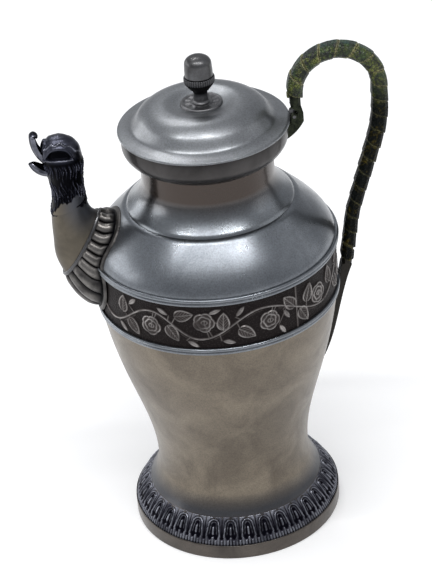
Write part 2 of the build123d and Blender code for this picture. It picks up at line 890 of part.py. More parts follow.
# Upper bill: a plate that rises before the face and curls back over at its tip
bill_root = band_top + bill_root_rise
bill_top = bill_root + bill_height
bill_front = face_x - bill_reach
curl_z = bill_top - bill_curl_radius
with BuildPart() as upper_bill:
    with BuildSketch(Plane.XZ):
        with BuildLine():
            ThreePointArc(
                (face_x - bill_root_reach, bill_root),
                (bill_front + bill_thickness * 0.4, bill_root + bill_height * 0.4),
                (bill_front, curl_z),
            )
            ThreePointArc(
                (bill_front, curl_z),
                (bill_front + bill_curl_radius, bill_top),
                (bill_front + 2 * bill_curl_radius, curl_z),
            )
            Line(
                (bill_front + 2 * bill_curl_radius, curl_z),
                (bill_front + 2 * bill_curl_radius - bill_thickness, curl_z),
            )
            ThreePointArc(
                (bill_front + 2 * bill_curl_radius - bill_thickness, curl_z),
                (bill_front + bill_curl_radius, bill_top - bill_thickness),
                (bill_front + bill_thickness, curl_z),
            )
            ThreePointArc(
                (bill_front + bill_thickness, curl_z),
                (bill_front + bill_thickness * 1.4, bill_root + bill_height * 0.4),
                (face_x, bill_root + bill_thickness),
            )
            Polyline(
                (face_x, bill_root + bill_thickness),
                (face_x + cast_wall, bill_root + bill_thickness),
                (face_x + cast_wall, bill_root),
                (face_x - bill_root_reach, bill_root),
            )
        make_face()
    extrude(amount=upper_bill_width / 2, both=True)
    with BuildSketch(Plane.YZ.offset(face_x + cast_wall)):
        with BuildLine():
            Polyline(
                (-upper_bill_tip_width / 2, curl_z),
                (-upper_bill_width / 2, bill_root),
                (upper_bill_width / 2, bill_root),
                (upper_bill_tip_width / 2, curl_z),
            )
            ThreePointArc(
                (upper_bill_tip_width / 2, curl_z),
                (0, bill_top),
                (-upper_bill_tip_width / 2, curl_z),
            )
        make_face()
    extrude(amount=-2 * (bill_reach + cast_wall), mode=Mode.INTERSECT)
    add(head_space.part, mode=Mode.SUBTRACT)

# Lower bill: a short spoon under the mouth
spoon_top = band_top + spoon_rise
spoon_bottom = band_top + spoon_keel_rise
spoon_root_x = face_x + cast_wall
spoon_tip_x = face_x - spoon_reach
half_bill = lower_bill_width / 2


def spoon_side(inset):
    """Side view of the spoon, drawn inside its keel by an inset."""
    root = (spoon_root_x, spoon_bottom + inset)
    middle = ((face_x + spoon_tip_x) / 2 + inset, (spoon_bottom + spoon_top) / 2 - spoon_sag + inset)
    tip = (spoon_tip_x + inset, spoon_top)
    with BuildSketch(Plane.XZ) as side_view:
        with BuildLine():
            ThreePointArc(root, middle, tip)
            Polyline(tip, (spoon_root_x, spoon_top), root)
        make_face()
    return side_view.sketch


with BuildPart() as lower_bill:
    extrude(spoon_side(0), amount=half_bill, both=True)
    extrude(spoon_side(spoon_wall), amount=half_bill - spoon_wall, both=True, mode=Mode.SUBTRACT)
    with BuildSketch(Plane.XY.offset(spoon_bottom)):
        with BuildLine():
            spoon_cheek_x = face_x - spoon_wall
            Polyline(
                (spoon_cheek_x, -half_bill),
                (spoon_root_x, -half_bill),
                (spoon_root_x, half_bill),
                (spoon_cheek_x, half_bill),
            )
            ThreePointArc((spoon_cheek_x, half_bill), (spoon_tip_x, 0), (spoon_cheek_x, -half_bill))
        make_face()
    extrude(amount=spoon_top - spoon_bottom, mode=Mode.INTERSECT)
    add(head_space.part, mode=Mode.SUBTRACT)

# Strainer, a pierced plate behind the window in the band
strainer_outer = band_radius - body_wall
with BuildPart() as strainer:
    with BuildSketch(Plane.XY.offset(window_height - window_radius - strainer_margin)):
        Circle(strainer_outer)
        Circle(strainer_outer - strainer_thickness, mode=Mode.SUBTRACT)
    extrude(amount=2 * (window_radius + strainer_margin))
    with BuildSketch(Plane.YZ):
        with Locations((0, window_height)):
            Circle(window_radius + strainer_margin)
    extrude(amount=-band_radius, mode=Mode.INTERSECT)
    with BuildSketch(Plane.YZ):
        with Locations((0, window_height)):
            with PolarLocations(strainer_pitch, strainer_hole_count):
                Circle(strainer_hole_radius)
            Circle(strainer_hole_radius)
    extrude(amount=-band_radius, mode=Mode.SUBTRACT)

pieces = {
    "foot_ring": foot_ring,
    "base_plate": base_plate,
    "leaf_tip_border": leaf_tip_border,
    "belly": belly,
    "rose_band": rose_band,
    "upper_moulding": upper_moulding,
    "lower_bead": lower_bead,
    "shoulder": shoulder,
    "neck": neck,
    "mouth_collar": mouth_collar,
    "lid_shell": lid_shell,
    "lid_bezel": lid_bezel,
    "lid_knuckle": lid_knuckle,
    "finial_rosette": finial_rosette,
    "finial_stem": finial_stem,
    "finial_acorn": finial_acorn,
    "fixing_nut": fixing_nut,
    "hinge_pin": hinge_pin,
    "handle": handle,
    "handle_binding": handle_binding,
    "spout_socket": spout_socket,
    "spout_rim": spout_rim,
    "spout_breast": spout_breast,
    "bird_head": bird_head,
    "upper_bill": upper_bill,
    "lower_bill": lower_bill,
    "strainer": strainer,
}
for name, piece in pieces.items():
    piece.part.label = name
    export_step(piece.part, f"parts/{name}.step")
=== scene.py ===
"""Looks of the pewter jug: spun and cast pewter, blackened relief and a bound handle.

Lengths are written in millimetres and turned into metres where a mesh is made. The frame is the
jug's own: +Z up, the spout at -X, the handle and hinge at +X. Angles round the axis start at +X.
"""

from math import atan2, cos, hypot, pi, radians, sin, sqrt, tan

import bmesh
import bpy
import numpy as np
from mathutils import Matrix, Vector


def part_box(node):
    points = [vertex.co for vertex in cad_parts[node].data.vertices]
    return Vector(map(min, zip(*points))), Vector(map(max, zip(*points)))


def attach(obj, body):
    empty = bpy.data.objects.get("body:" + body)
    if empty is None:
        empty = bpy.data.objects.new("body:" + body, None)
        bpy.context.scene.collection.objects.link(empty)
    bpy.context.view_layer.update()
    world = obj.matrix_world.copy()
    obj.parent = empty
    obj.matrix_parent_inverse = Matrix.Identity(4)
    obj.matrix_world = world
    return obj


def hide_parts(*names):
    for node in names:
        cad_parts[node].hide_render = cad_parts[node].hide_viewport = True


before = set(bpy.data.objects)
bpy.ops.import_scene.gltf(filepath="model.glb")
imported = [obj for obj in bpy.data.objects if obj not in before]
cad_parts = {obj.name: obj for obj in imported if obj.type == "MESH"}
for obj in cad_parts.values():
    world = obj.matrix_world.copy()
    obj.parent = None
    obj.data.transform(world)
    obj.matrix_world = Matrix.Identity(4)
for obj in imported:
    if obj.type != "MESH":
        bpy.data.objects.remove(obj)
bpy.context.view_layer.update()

MM = 0.001


# Camera

CAMERA_DISTANCE = 1131.5
CAMERA_HEIGHT = 849.8
CAMERA_AZIMUTH = 4.0
CAMERA_PITCH = 31.53
CAMERA_YAW = -0.074
CAMERA_ROLL = -5.39
FOCAL_PIXELS = 2206.6
IMAGE_WIDTH = 432
SENSOR_WIDTH = 36.0


def add_camera():
    """Camera at the photograph's place, with its slight roll."""
    turn = Matrix.Rotation(radians(-CAMERA_AZIMUTH), 4, "Z")
    place = Matrix.Translation(Vector((0, -CAMERA_DISTANCE, CAMERA_HEIGHT)) * MM)
    tilt = Matrix.Rotation(radians(90 - CAMERA_PITCH), 4, "X")
    yaw = Matrix.Rotation(radians(-CAMERA_YAW), 4, "Y")
    roll = Matrix.Rotation(radians(CAMERA_ROLL), 4, "Z")
    data = bpy.data.cameras.new("camera")
    data.sensor_fit = "HORIZONTAL"
    data.sensor_width = SENSOR_WIDTH
    data.lens = FOCAL_PIXELS / IMAGE_WIDTH * SENSOR_WIDTH
    data.clip_end = 20
    camera = bpy.data.objects.new("camera", data)
    camera.matrix_world = turn @ place @ tilt @ yaw @ roll
    bpy.context.scene.collection.objects.link(camera)
    bpy.context.scene.camera = camera


# Materials

PATINA = (0.05, 0.045, 0.04)
BREAST_BROWN = (0.14, 0.122, 0.096)
BREAST_SHADOW = (0.09, 0.093, 0.105)


def put(tree, value, socket):
    """Links a value to a socket, or sets it there, whichever the value calls for."""
    if isinstance(value, bpy.types.NodeSocket):
        tree.links.new(value, socket)
    elif socket.type == "RGBA":
        socket.default_value = (*value, 1)
    else:
        socket.default_value = value


def feed(tree, node, **sockets):
    """Puts a value or a link into each named input of a node."""
    for name, value in sockets.items():
        put(tree, value, node.inputs[name.replace("_", " ")])
    return node


class Shader:
    """A new material with a Principled shader, and short calls that add nodes to it."""

    def __init__(self, name, metallic=1.0, **sockets):
        self.material = bpy.data.materials.new(name)
        self.material.use_nodes = True
        self.tree = self.material.node_tree
        self.surface = self.tree.nodes["Principled BSDF"]
        self.feed(Metallic=metallic, **sockets)
        self.place = self.node("TexCoord").outputs["Object"]

    def feed(self, **sockets):
        feed(self.tree, self.surface, **sockets)

    def node(self, kind, **sockets):
        return feed(self.tree, self.tree.nodes.new("ShaderNode" + kind), **sockets)

    def stretched(self, x, y, z):
        """The surface position, scaled along each axis."""
        return self.node("Mapping", Vector=self.place, Scale=(x, y, z)).outputs["Vector"]

    def noise(self, size, detail=3.0, rough=0.5, warp=0.0, at=None):
        """Noise whose blobs are about size millimetres across."""
        scale = 1 / (size * MM)
        node = self.node("TexNoise", Vector=at or self.place, Scale=scale, Detail=detail,
                         Roughness=rough, Distortion=warp)
        return node.outputs["Fac"]

    def cells(self, size, feature="F1"):
        """Voronoi distance for cells about size millimetres across."""
        node = self.node("TexVoronoi", Vector=self.place, Scale=1 / (size * MM))
        node.feature = feature
        return node.outputs["Distance"]

    def attribute(self, name):
        node = self.node("Attribute")
        node.attribute_name = name
        return node.outputs["Fac"]

    def height(self):
        """Height above the table in metres."""
        return self.node("SeparateXYZ", Vector=self.place).outputs["Z"]

    def spread(self, value, low, high, to_low=0.0, to_high=1.0):
        """A value's range low to high, clamped, as another range."""
        node = self.node("MapRange", Value=value, From_Min=low, From_Max=high,
                         To_Min=to_low, To_Max=to_high)
        return node.outputs["Result"]

    def times(self, first, second):
        node = self.node("Math")
        node.operation = "MULTIPLY"
        put(self.tree, first, node.inputs[0])
        put(self.tree, second, node.inputs[1])
        return node.outputs["Value"]

    def mix(self, share, first, second):
        """One colour over another."""
        node = self.node("Mix")
        node.data_type = "RGBA"
        for index, value in ((0, share), (6, first), (7, second)):
            put(self.tree, value, node.inputs[index])
        return node.outputs[2]

    def bump(self, height, depth, under=None):
        """Normal for a height in 0 to 1 that stands for depth millimetres, over another normal."""
        node = self.node("Bump", Height=height, Distance=depth * MM, Strength=1.0)
        if under is not None:
            put(self.tree, under, node.inputs["Normal"])
        return node.outputs["Normal"]

    def finish(self, colour, roughness, normal):
        self.feed(Base_Color=colour, Roughness=roughness, Normal=normal)
        return self.material


def pewter(name, light, dark, rough, spots=0.35, speckle=0.012, zone=None):
    """Worn pewter: cloudy colour, dark pits, fine scratches, a speckled skin and a thin wax shine.

    zone is (height from, height to, colour) in metres: a colour the metal takes on over that span of
    height, used for painted shade at the waist and for the brown of the upper neck.
    """
    shader = Shader(name, Coat_Weight=0.3, Coat_Roughness=0.13)
    clouds = shader.noise(26, detail=4, rough=0.6, warp=0.6)
    grain = shader.noise(0.9, detail=3, rough=0.75)
    scratches = shader.noise(2.2, detail=5, rough=0.75, warp=0.8, at=shader.stretched(0.35, 0.35, 2.6))
    pits = shader.spread(shader.cells(6.5), 0.02, 0.09, 1.0, 0.0)
    pit_gate = shader.spread(shader.noise(19, detail=2), 0.52, 0.62)
    colour = shader.mix(shader.spread(clouds, 0.3, 0.7), dark, light)
    # Colour that changes with height: painted shade low on the belly, brown higher on the neck.
    if zone:
        colour = shader.mix(shader.spread(shader.height(), zone[0], zone[1]), colour, zone[2])
    colour = shader.mix(shader.times(shader.spread(grain, 0.4, 0.75), 0.5), colour, PATINA)
    colour = shader.mix(shader.times(shader.times(pits, pit_gate), spots), colour, PATINA)
    roughness = shader.spread(clouds, 0.3, 0.7, rough + 0.07, rough - 0.05)
    normal = shader.bump(grain, speckle, under=shader.bump(scratches, speckle * 1.4))
    shader.feed(Coat_Normal=normal)
    return shader.finish(colour, roughness, normal)


def relief_pewter(name, high, middle, low, rough=0.42, span=(0.15, 0.75), stipple=0.0, bare=None):
    """Cast ornament: black in the recesses, rubbed grey on the high spots.

    stipple is the depth of a punched ground in millimetres. bare is the colour of smooth metal,
    shown where the bare attribute is high, turning to painted shade where the shade attribute is high.
    """
    shader = Shader(name)
    height = shader.attribute("relief")
    grain = shader.noise(1.2, detail=3, rough=0.7)
    wear = shader.noise(9, detail=3)
    lower = shader.mix(shader.spread(height, 0.0, span[0]), low, middle)
    worn = shader.times(shader.spread(height, span[0], span[1]), shader.spread(wear, 0.25, 0.6))
    colour = shader.mix(worn, lower, high)
    colour = shader.mix(shader.times(shader.spread(grain, 0.4, 0.8), 0.35), colour, low)
    roughness = shader.spread(height, 0.0, 0.8, rough + 0.18, rough - 0.06)
    normal = shader.bump(grain, 0.03)
    if stipple:
        dots = shader.cells(1.0)
        dot_centres = shader.spread(dots, 0.1, 0.45, 1.0, 0.0)
        on_ground = shader.spread(height, 0.1, 0.4, 1.0, 0.0)
        half_on_ground = shader.spread(height, 0.1, 0.4, 0.5, 0.0)
        colour = shader.mix(shader.times(dot_centres, half_on_ground), colour, middle)
        normal = shader.bump(shader.times(dots, on_ground), -stipple, under=normal)
    if bare:
        smooth_metal = shader.mix(shader.attribute("shade"), bare, BREAST_SHADOW)
        colour = shader.mix(shader.attribute("bare"), colour, smooth_metal)
    return shader.finish(colour, roughness, normal)


def snake_strip(name):
    """Scaly leather strip: teal on its outer face and yellow-green at the sides, with worn edges."""
    shader = Shader(name, metallic=0.0)
    loop = shader.attribute("loop")
    patches = shader.noise(6, detail=4, rough=0.65, warp=1.5)
    hue = shader.noise(11, detail=3, warp=0.8)
    scales = shader.cells(1.9, feature="DISTANCE_TO_EDGE")
    outer = shader.mix(shader.spread(hue, 0.42, 0.58), (0.006, 0.04, 0.03), (0.07, 0.11, 0.05))
    lateral = shader.mix(shader.spread(hue, 0.4, 0.6), (0.03, 0.06, 0.01), (0.14, 0.16, 0.025))
    green = shader.mix(shader.attribute("side"), outer, lateral)
    green = shader.mix(shader.spread(patches, 0.4, 0.6), (0.004, 0.008, 0.004), green)
    brown = shader.mix(shader.spread(patches, 0.54, 0.7), (0.002, 0.003, 0.0025), (0.06, 0.045, 0.006))
    colour = shader.mix(loop, brown, green)
    worn = shader.times(shader.attribute("edge"), shader.spread(patches, 0.35, 0.6, 0.35, 1.0))
    worn = shader.times(worn, shader.spread(loop, 0.0, 1.0, 0.3, 1.0))
    colour = shader.mix(worn, colour, (0.3, 0.28, 0.13))
    cracks = shader.spread(scales, 0.0, 0.12, 1.0, 0.0)
    cracks = shader.times(cracks, shader.spread(hue, 0.35, 0.5, 0.6, 1.0))
    colour = shader.mix(cracks, colour, (0.001, 0.002, 0.0015))
    roughness = shader.spread(patches, 0.3, 0.7, 0.5, 0.32)
    normal = shader.bump(shader.spread(scales, 0.0, 0.25), 0.3)
    normal = shader.bump(shader.noise(2.5, detail=4, rough=0.7), 0.35, under=normal)
    shader.feed(Specular_IOR_Level=shader.spread(loop, 0.0, 1.0, 0.08, 0.4))
    return shader.finish(colour, roughness, normal)


def feathered_pewter(name, light, dark, shadow, feather):
    """Breast metal that darkens upwards in painted shade, with blackened feather tips where the attribute
    is high.
    """
    shader = Shader(name)
    clouds = shader.noise(18, detail=4, rough=0.65, warp=0.6)
    grain = shader.noise(0.9, detail=3, rough=0.7)
    colour = shader.mix(shader.spread(clouds, 0.3, 0.7), dark, light)
    colour = shader.mix(shader.attribute("shade"), colour, shadow)
    colour = shader.mix(shader.times(shader.spread(grain, 0.35, 0.75), 0.4), colour, dark)
    colour = shader.mix(shader.spread(shader.attribute("relief"), 0.05, 0.4), colour, feather)
    return shader.finish(colour, shader.spread(clouds, 0.3, 0.7, 0.5, 0.38), shader.bump(grain, 0.02))


def handle_metal(name):
    """Blackened metal of the handle; where the wrapped loop ends on the lug it is dark green like the wrap,
    and darker as painted shade about the hinge.
    """
    shader = Shader(name, metallic=0.8)
    grain = shader.noise(1.6, detail=4, rough=0.7)
    lug = shader.spread(shader.height(), 0.2, 0.22)
    metal = shader.mix(grain, (0.012, 0.011, 0.01), (0.035, 0.031, 0.026))
    # Above 0.22 m, on the lug by the hinge: the wrap's dark green, deepened as painted shade.
    dark = shader.mix(shader.spread(grain, 0.35, 0.65), (0.004, 0.006, 0.004), (0.03, 0.036, 0.02))
    return shader.finish(shader.mix(lug, metal, dark), 0.5, shader.bump(grain, 0.15))


neck_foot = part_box("neck")[0].z
neck_browning = (neck_foot + 0.006, neck_foot + 0.017, (0.055, 0.042, 0.036))
# Painted shade: below the waist the belly turns dark bluish grey towards the foot.
waist_painted_shade = (0.036, 0.026, (0.07, 0.072, 0.08))
bright_pewter = pewter("bright_pewter", (0.25, 0.27, 0.295), (0.155, 0.17, 0.19), 0.29, speckle=0.03)
lid_pewter = pewter("lid_pewter", (0.29, 0.305, 0.32), (0.21, 0.22, 0.235), 0.38, speckle=0.03)
neck_pewter = pewter("neck_pewter", (0.26, 0.28, 0.3), (0.16, 0.175, 0.195), 0.26, spots=0.5,
                     zone=neck_browning)
# The collar, under the lid's flange, is coloured far darker than the neck below it.
collar_pewter = pewter("collar_pewter", (0.062, 0.058, 0.058), (0.025, 0.023, 0.023), 0.42)
body_pewter = pewter("body_pewter", (0.225, 0.19, 0.145), (0.135, 0.112, 0.087), 0.42, spots=0.55,
                     speckle=0.03, zone=waist_painted_shade)
foot_pewter = pewter("foot_pewter", (0.13, 0.112, 0.098), (0.06, 0.052, 0.046), 0.42, spots=0.6)
breast_pewter = feathered_pewter(
    "breast_pewter", BREAST_BROWN, (0.09, 0.08, 0.065), BREAST_SHADOW, (0.008, 0.008, 0.011))
tail_metal = handle_metal("tail_metal")
dark_pewter = pewter("dark_pewter", (0.12, 0.12, 0.125), (0.05, 0.05, 0.055), 0.36)
acorn_pewter = pewter("acorn_pewter", (0.15, 0.152, 0.16), (0.05, 0.05, 0.052), 0.38, spots=0.6)
band_relief = relief_pewter(
    "band_relief", (0.36, 0.34, 0.33), (0.06, 0.052, 0.05), (0.018, 0.015, 0.015),
    span=(0.33, 0.95), stipple=0.25)
leaf_relief = relief_pewter(
    "leaf_relief", (0.36, 0.37, 0.42), (0.03, 0.03, 0.04), (0.004, 0.004, 0.007), span=(0.35, 1.0))
black_relief = relief_pewter(
    "black_relief", (0.25, 0.255, 0.3), (0.028, 0.03, 0.045), (0.0025, 0.0025, 0.0035),
    rough=0.3, span=(0.4, 1.0), bare=BREAST_BROWN)
socket_relief = relief_pewter(
    "socket_relief", (0.19, 0.18, 0.17), (0.04, 0.038, 0.038), (0.002, 0.002, 0.003))
rosette_relief = relief_pewter(
    "rosette_relief", (0.2, 0.2, 0.205), (0.06, 0.06, 0.065), (0.008, 0.008, 0.009))
strip_leather = snake_strip("strip_leather")


# Mesh building


def grid_faces(rows, columns, wrap_rows=False):
    """Quads of a grid whose columns run all the way round."""
    i, j = np.meshgrid(np.arange(rows if wrap_rows else rows - 1), np.arange(columns), indexing="ij")
    next_i, next_j = (i + 1) % rows, (j + 1) % columns
    corners = [i * columns + j, i * columns + next_j, next_i * columns + next_j, next_i * columns + j]
    return np.stack(corners, -1).reshape(-1, 4)


def make_piece(name, points, faces, material, body, node, attributes=None, sharp=40):
    """Mesh object in the jug's frame that stands for a CAD node and rides on its body."""
    mesh = bpy.data.meshes.new(name)
    mesh.from_pydata((np.asarray(points) * MM).tolist(), [], np.asarray(faces).tolist())
    for key, values in (attributes or {}).items():
        layer = mesh.attributes.new(key, "FLOAT", "POINT")
        layer.data.foreach_set("value", np.asarray(values, np.float32).ravel())
    cleaner = bmesh.new()
    cleaner.from_mesh(mesh)
    bmesh.ops.remove_doubles(cleaner, verts=cleaner.verts, dist=1e-7)
    bmesh.ops.recalc_face_normals(cleaner, faces=cleaner.faces)
    cleaner.to_mesh(mesh)
    cleaner.free()
    mesh.polygons.foreach_set("use_smooth", [True] * len(mesh.polygons))
    mesh.set_sharp_from_angle(angle=radians(sharp))
    mesh.materials.append(material)
    piece = bpy.data.objects.new(name, mesh)
    bpy.context.scene.collection.objects.link(piece)
    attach(piece, body)
    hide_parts(node)


def lathe(name, loop, material, body, node, segments=256, relief=None, sharp=40):
    """Spins a closed loop of (radius, height) points. relief gives each point's rise and colour."""
    loop = np.asarray(loop, float)
    angles = np.arange(segments) / segments * 2 * pi
    radius = np.repeat(loop[:, :1], segments, 1)
    height = np.repeat(loop[:, 1:], segments, 1)
    attributes = None
    if relief is not None:
        rise, colour = relief(angles, loop)
        along = np.roll(loop, -1, 0) - np.roll(loop, 1, 0)
        along /= np.maximum(np.linalg.norm(along, axis=1, keepdims=True), 1e-9)
        radius = radius + rise * along[:, 1:]
        height = height - rise * along[:, :1]
        attributes = {"relief": colour}
    points = np.stack([radius * np.cos(angles), radius * np.sin(angles), height], -1).reshape(-1, 3)
    faces = grid_faces(len(loop), segments, wrap_rows=True)
    make_piece(name, points, faces, material, body, node, attributes, sharp)


def hermite(t, start, end, start_slope, end_slope):
    """Smooth course from start to end over t in 0 to 1, with a slope at each end."""
    leaving = (2 * t**3 - 3 * t**2 + 1) * start + (t**3 - 2 * t**2 + t) * start_slope
    arriving = (3 * t**2 - 2 * t**3) * end + (t**3 - t**2) * end_slope
    return leaving + arriving


def between(low, high, steps):
    """(radius, height) points on the smooth curve between two (height, radius, slope) stations.

    Stations given as (radius, height, slope) come back as (height, radius) points.
    """
    t = np.linspace(0, 1, steps + 1)
    span = high[0] - low[0]
    radius = hermite(t, low[1], high[1], span * low[2], span * high[2])
    return np.stack([radius, low[0] + span * t], -1)


def joined(*stretches):
    """Stretches of profile end to end, without the doubled points."""
    points = [tuple(stretches[0][0])]
    for stretch in stretches:
        for point in stretch:
            if hypot(point[0] - points[-1][0], point[1] - points[-1][1]) > 0.01:
                points.append(tuple(point))
    return np.array(points)


def wall(outer, thickness):
    """Closed loop of a spun wall: an outer profile, and the same brought in by a thickness."""
    inner = outer[::-1] - np.array([thickness, 0])
    return joined(outer, inner)


def arc(start, middle, end, steps):
    """Points on the circle through three points."""
    a, b, c = (complex(*point) for point in (start, middle, end))
    w = (c - a) / (b - a)
    centre = (b - a) * (w - abs(w) ** 2) / (2j * w.imag) + a
    radius = abs(a - centre)
    first = atan2((a - centre).imag, (a - centre).real)
    turn_middle = (atan2((b - centre).imag, (b - centre).real) - first) % (2 * pi)
    turn_end = (atan2((c - centre).imag, (c - centre).real) - first) % (2 * pi)
    if turn_middle > turn_end:
        turn_end -= 2 * pi
    turns = first + np.linspace(0, turn_end, steps + 1)
    return np.stack([centre.real + radius * np.cos(turns), centre.imag + radius * np.sin(turns)], -1)


def smooth(value, low, high):
    """0 below low, 1 above high, and an even curve between."""
    t = np.clip((value - low) / (high - low), 0, 1)
    return t * t * (3 - 2 * t)


def ridge(distance, width):
    """A rounded ridge of height 1 along distance zero, width across its foot."""
    return np.exp(-((distance / (width * 0.42)) ** 2))


# Body, from the foot up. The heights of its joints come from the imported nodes.


def low_of(node):
    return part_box(node)[0] / MM


def high_of(node):
    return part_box(node)[1] / MM


BODY_WALL = 1.8
SLOPED_WALL = 2.4
THIN_WALL = 1.5
FOOT_TOP_SLOPE = -0.7
WAIST = (44.0, 47.0, 0.0)
BELLY = (102.0, 59.4, 0.31)
BELLY_TOP_SLOPE = 0.12
BAND_RADIUS = 72.2
SHOULDER_SLOPE = -1.05
NECK_SLOPE = -1.2
NECK_FLARE = 17.0
COLLAR_BOWL = 13.0
COLLAR_SLOPE = 1.9
COLLAR_LIFT = 2.2
COLLAR_EDGE = 0.4
JOINT_GROOVE = 0.7
BAND_OVERHANG = 0.6
SHEET_LAP = 0.2
FOOT_RIM = 9.4
FOOT_WALL = 3.0
FOOT_TOP_RADIUS = 53.4
NECK_BASE_RADIUS = 50.2
NECK_RADIUS = 39.0
SHOULDER_TOP_RADIUS = 50.6

foot_radius = high_of("foot_ring").x
foot_top = high_of("foot_ring").z
belly_bottom = low_of("belly").z
band_bottom = low_of("rose_band").z
band_top = high_of("rose_band").z
shoulder_top = high_of("shoulder").z
neck_top = high_of("neck").z
collar_top = high_of("mouth_collar").z
collar_radius = high_of("mouth_collar").x
collar_foot = neck_top + COLLAR_LIFT
neck_straight = shoulder_top + NECK_FLARE

belly_curve = joined(
    between((belly_bottom, FOOT_TOP_RADIUS, FOOT_TOP_SLOPE), WAIST, 14),
    between(WAIST, BELLY, 18),
    between(BELLY, (band_bottom, BAND_RADIUS - BAND_OVERHANG, BELLY_TOP_SLOPE), 16),
)
shoulder_curve = joined(
    between((band_top, BAND_RADIUS, 0.0), (shoulder_top, SHOULDER_TOP_RADIUS, SHOULDER_SLOPE), 26)[:-1],
    [(SHOULDER_TOP_RADIUS - JOINT_GROOVE, shoulder_top - 0.3)],
)
neck_curve = joined(
    [(NECK_BASE_RADIUS - JOINT_GROOVE, shoulder_top - 0.1)],
    between((shoulder_top, NECK_BASE_RADIUS, NECK_SLOPE), (neck_straight, NECK_RADIUS, 0.0), 18)[1:],
    [(NECK_RADIUS, collar_foot)],
)
collar_curve = joined(
    between((collar_foot, NECK_RADIUS, COLLAR_SLOPE), (neck_top + COLLAR_BOWL, collar_radius, 0.0), 16),
    [(collar_radius, collar_top - COLLAR_EDGE), (collar_radius - COLLAR_EDGE / 2, collar_top)],
)


def outer_rows_only(loop, field, depth):
    """Relief and colour for a lathe whose first rows carry a height field, 1 being its face."""
    full = np.zeros((len(loop), field.shape[1]))
    full[:len(field)] = field
    shown = (np.arange(len(loop)) < len(field))[:, None]
    return np.where(shown, (full - 1) * depth, 0), full


def body_radius(height):
    """Outer radius of the standing walls at a height."""
    stack = np.concatenate([belly_curve, [(BAND_RADIUS, band_bottom + 0.01)], shoulder_curve])
    return np.interp(height, stack[:, 1], stack[:, 0])


def add_body():
    """The four spun sheets above the foot."""
    lathe("belly_sheet", wall(belly_curve, BODY_WALL), body_pewter, "jug", "belly")
    lathe("shoulder_sheet", wall(shoulder_curve, SLOPED_WALL), bright_pewter, "jug", "shoulder")
    lathe("neck_sheet", wall(neck_curve, BODY_WALL), neck_pewter, "jug", "neck")
    lathe("collar_sheet", wall(collar_curve, THIN_WALL), collar_pewter, "jug", "mouth_collar")


def add_foot():
    """The rim that stands on the table, with rounded edges, and the slope behind the border."""
    inner = foot_radius - FOOT_WALL
    plate_top = high_of("base_plate").z
    slope_top = FOOT_TOP_RADIUS - SHEET_LAP
    rounding, bow, lip = 0.7, 0.2, 1.2
    edge = foot_radius - rounding
    corner = foot_radius - bow
    rim = joined(
        [(inner, 0.0), (edge, 0.0)],
        arc((edge, 0.0), (corner, bow), (foot_radius, rounding), 4),
        arc((foot_radius, FOOT_RIM - rounding), (corner, FOOT_RIM - bow), (edge, FOOT_RIM), 4),
        [(foot_radius - lip, FOOT_RIM), (slope_top, foot_top), (slope_top - BODY_WALL, foot_top)],
        [(inner - lip, FOOT_RIM - BODY_WALL), (inner - lip, plate_top), (inner, plate_top)],
    )
    lathe("foot_rim", rim, foot_pewter, "jug", "foot_ring")


def add_leaf_tip_border():
    """Cast ring of hooped leaf tips on the slope of the foot, over a fringe of short ribs."""
    motifs = 34
    columns_each = 26
    relief_depth = 1.1
    bulge = 1.3
    hoop_radius = 3.3
    hoop_drop = 4.9
    fringe_length = 5.0
    low = (high_of("leaf_tip_border").x, FOOT_RIM)
    high = (FOOT_TOP_RADIUS + SHEET_LAP, foot_top)
    middle = ((low[0] + high[0]) / 2 + bulge, (low[1] + high[1]) / 2)
    outer = arc(low, middle, high, 44)
    inner = np.array([(high[0] - 1.0, high[1]), (low[0] - 1.6, low[1])])
    slope_length = hypot(low[0] - high[0], low[1] - high[1])
    motif_width = 2 * pi * middle[0] / motifs

    def rise(angles, loop):
        along = np.linspace(0, slope_length, len(outer))
        across = ((angles / (2 * pi) * motifs) % 1 - 0.5) * motif_width
        x, y = np.meshgrid(across, along)
        crown = slope_length - hoop_drop
        legs = np.abs(x) - hoop_radius - np.maximum(crown - y, 0) * 0.12 * (y > 4)
        hoop = np.where(y > crown, np.hypot(x, y - crown) - hoop_radius, legs)
        tip = ridge(hoop, 1.3) * smooth(y, 5.0, 5.8)
        inner_tip = 0.75 * ridge(hoop + 1.6, 0.9) * smooth(y, 6.5, 8.0)
        drop = smooth(1 - (x / 0.9) ** 2 - ((y - 9.4) / 3.2) ** 2, 0.0, 0.5)
        wedge = (0.3 + 0.35 * smooth(y, 8.0, slope_length)) * smooth(hoop, 0.6, 1.1) * smooth(y, 7.0, 9.0)
        dart = 0.45 * ridge(motif_width / 2 - np.abs(x), 0.7) * smooth(y, 6.0, 9.0)
        fringe_end = fringe_length + 1.1 * np.cos(2 * pi * x / motif_width * 3)
        ribs = np.abs(np.cos(6 * pi * x / motif_width)) ** 0.8
        fringe = (0.1 + 0.9 * ribs) * smooth(fringe_end - y, 0.0, 0.7) * smooth(y, -0.2, 0.5)
        rim = 0.8 * ridge(y - slope_length + 0.4, 0.9)
        height = np.maximum.reduce([tip, inner_tip, 0.8 * drop, wedge - dart, 0.85 * fringe, rim])
        return outer_rows_only(loop, height, relief_depth)

    lathe("leaf_tip_ring", joined(outer, inner), leaf_relief, "jug", "leaf_tip_border",
          segments=motifs * columns_each, relief=rise, sharp=60)


# Rose band. Places are (angle, height above the band's foot); the spout is at 180 degrees.

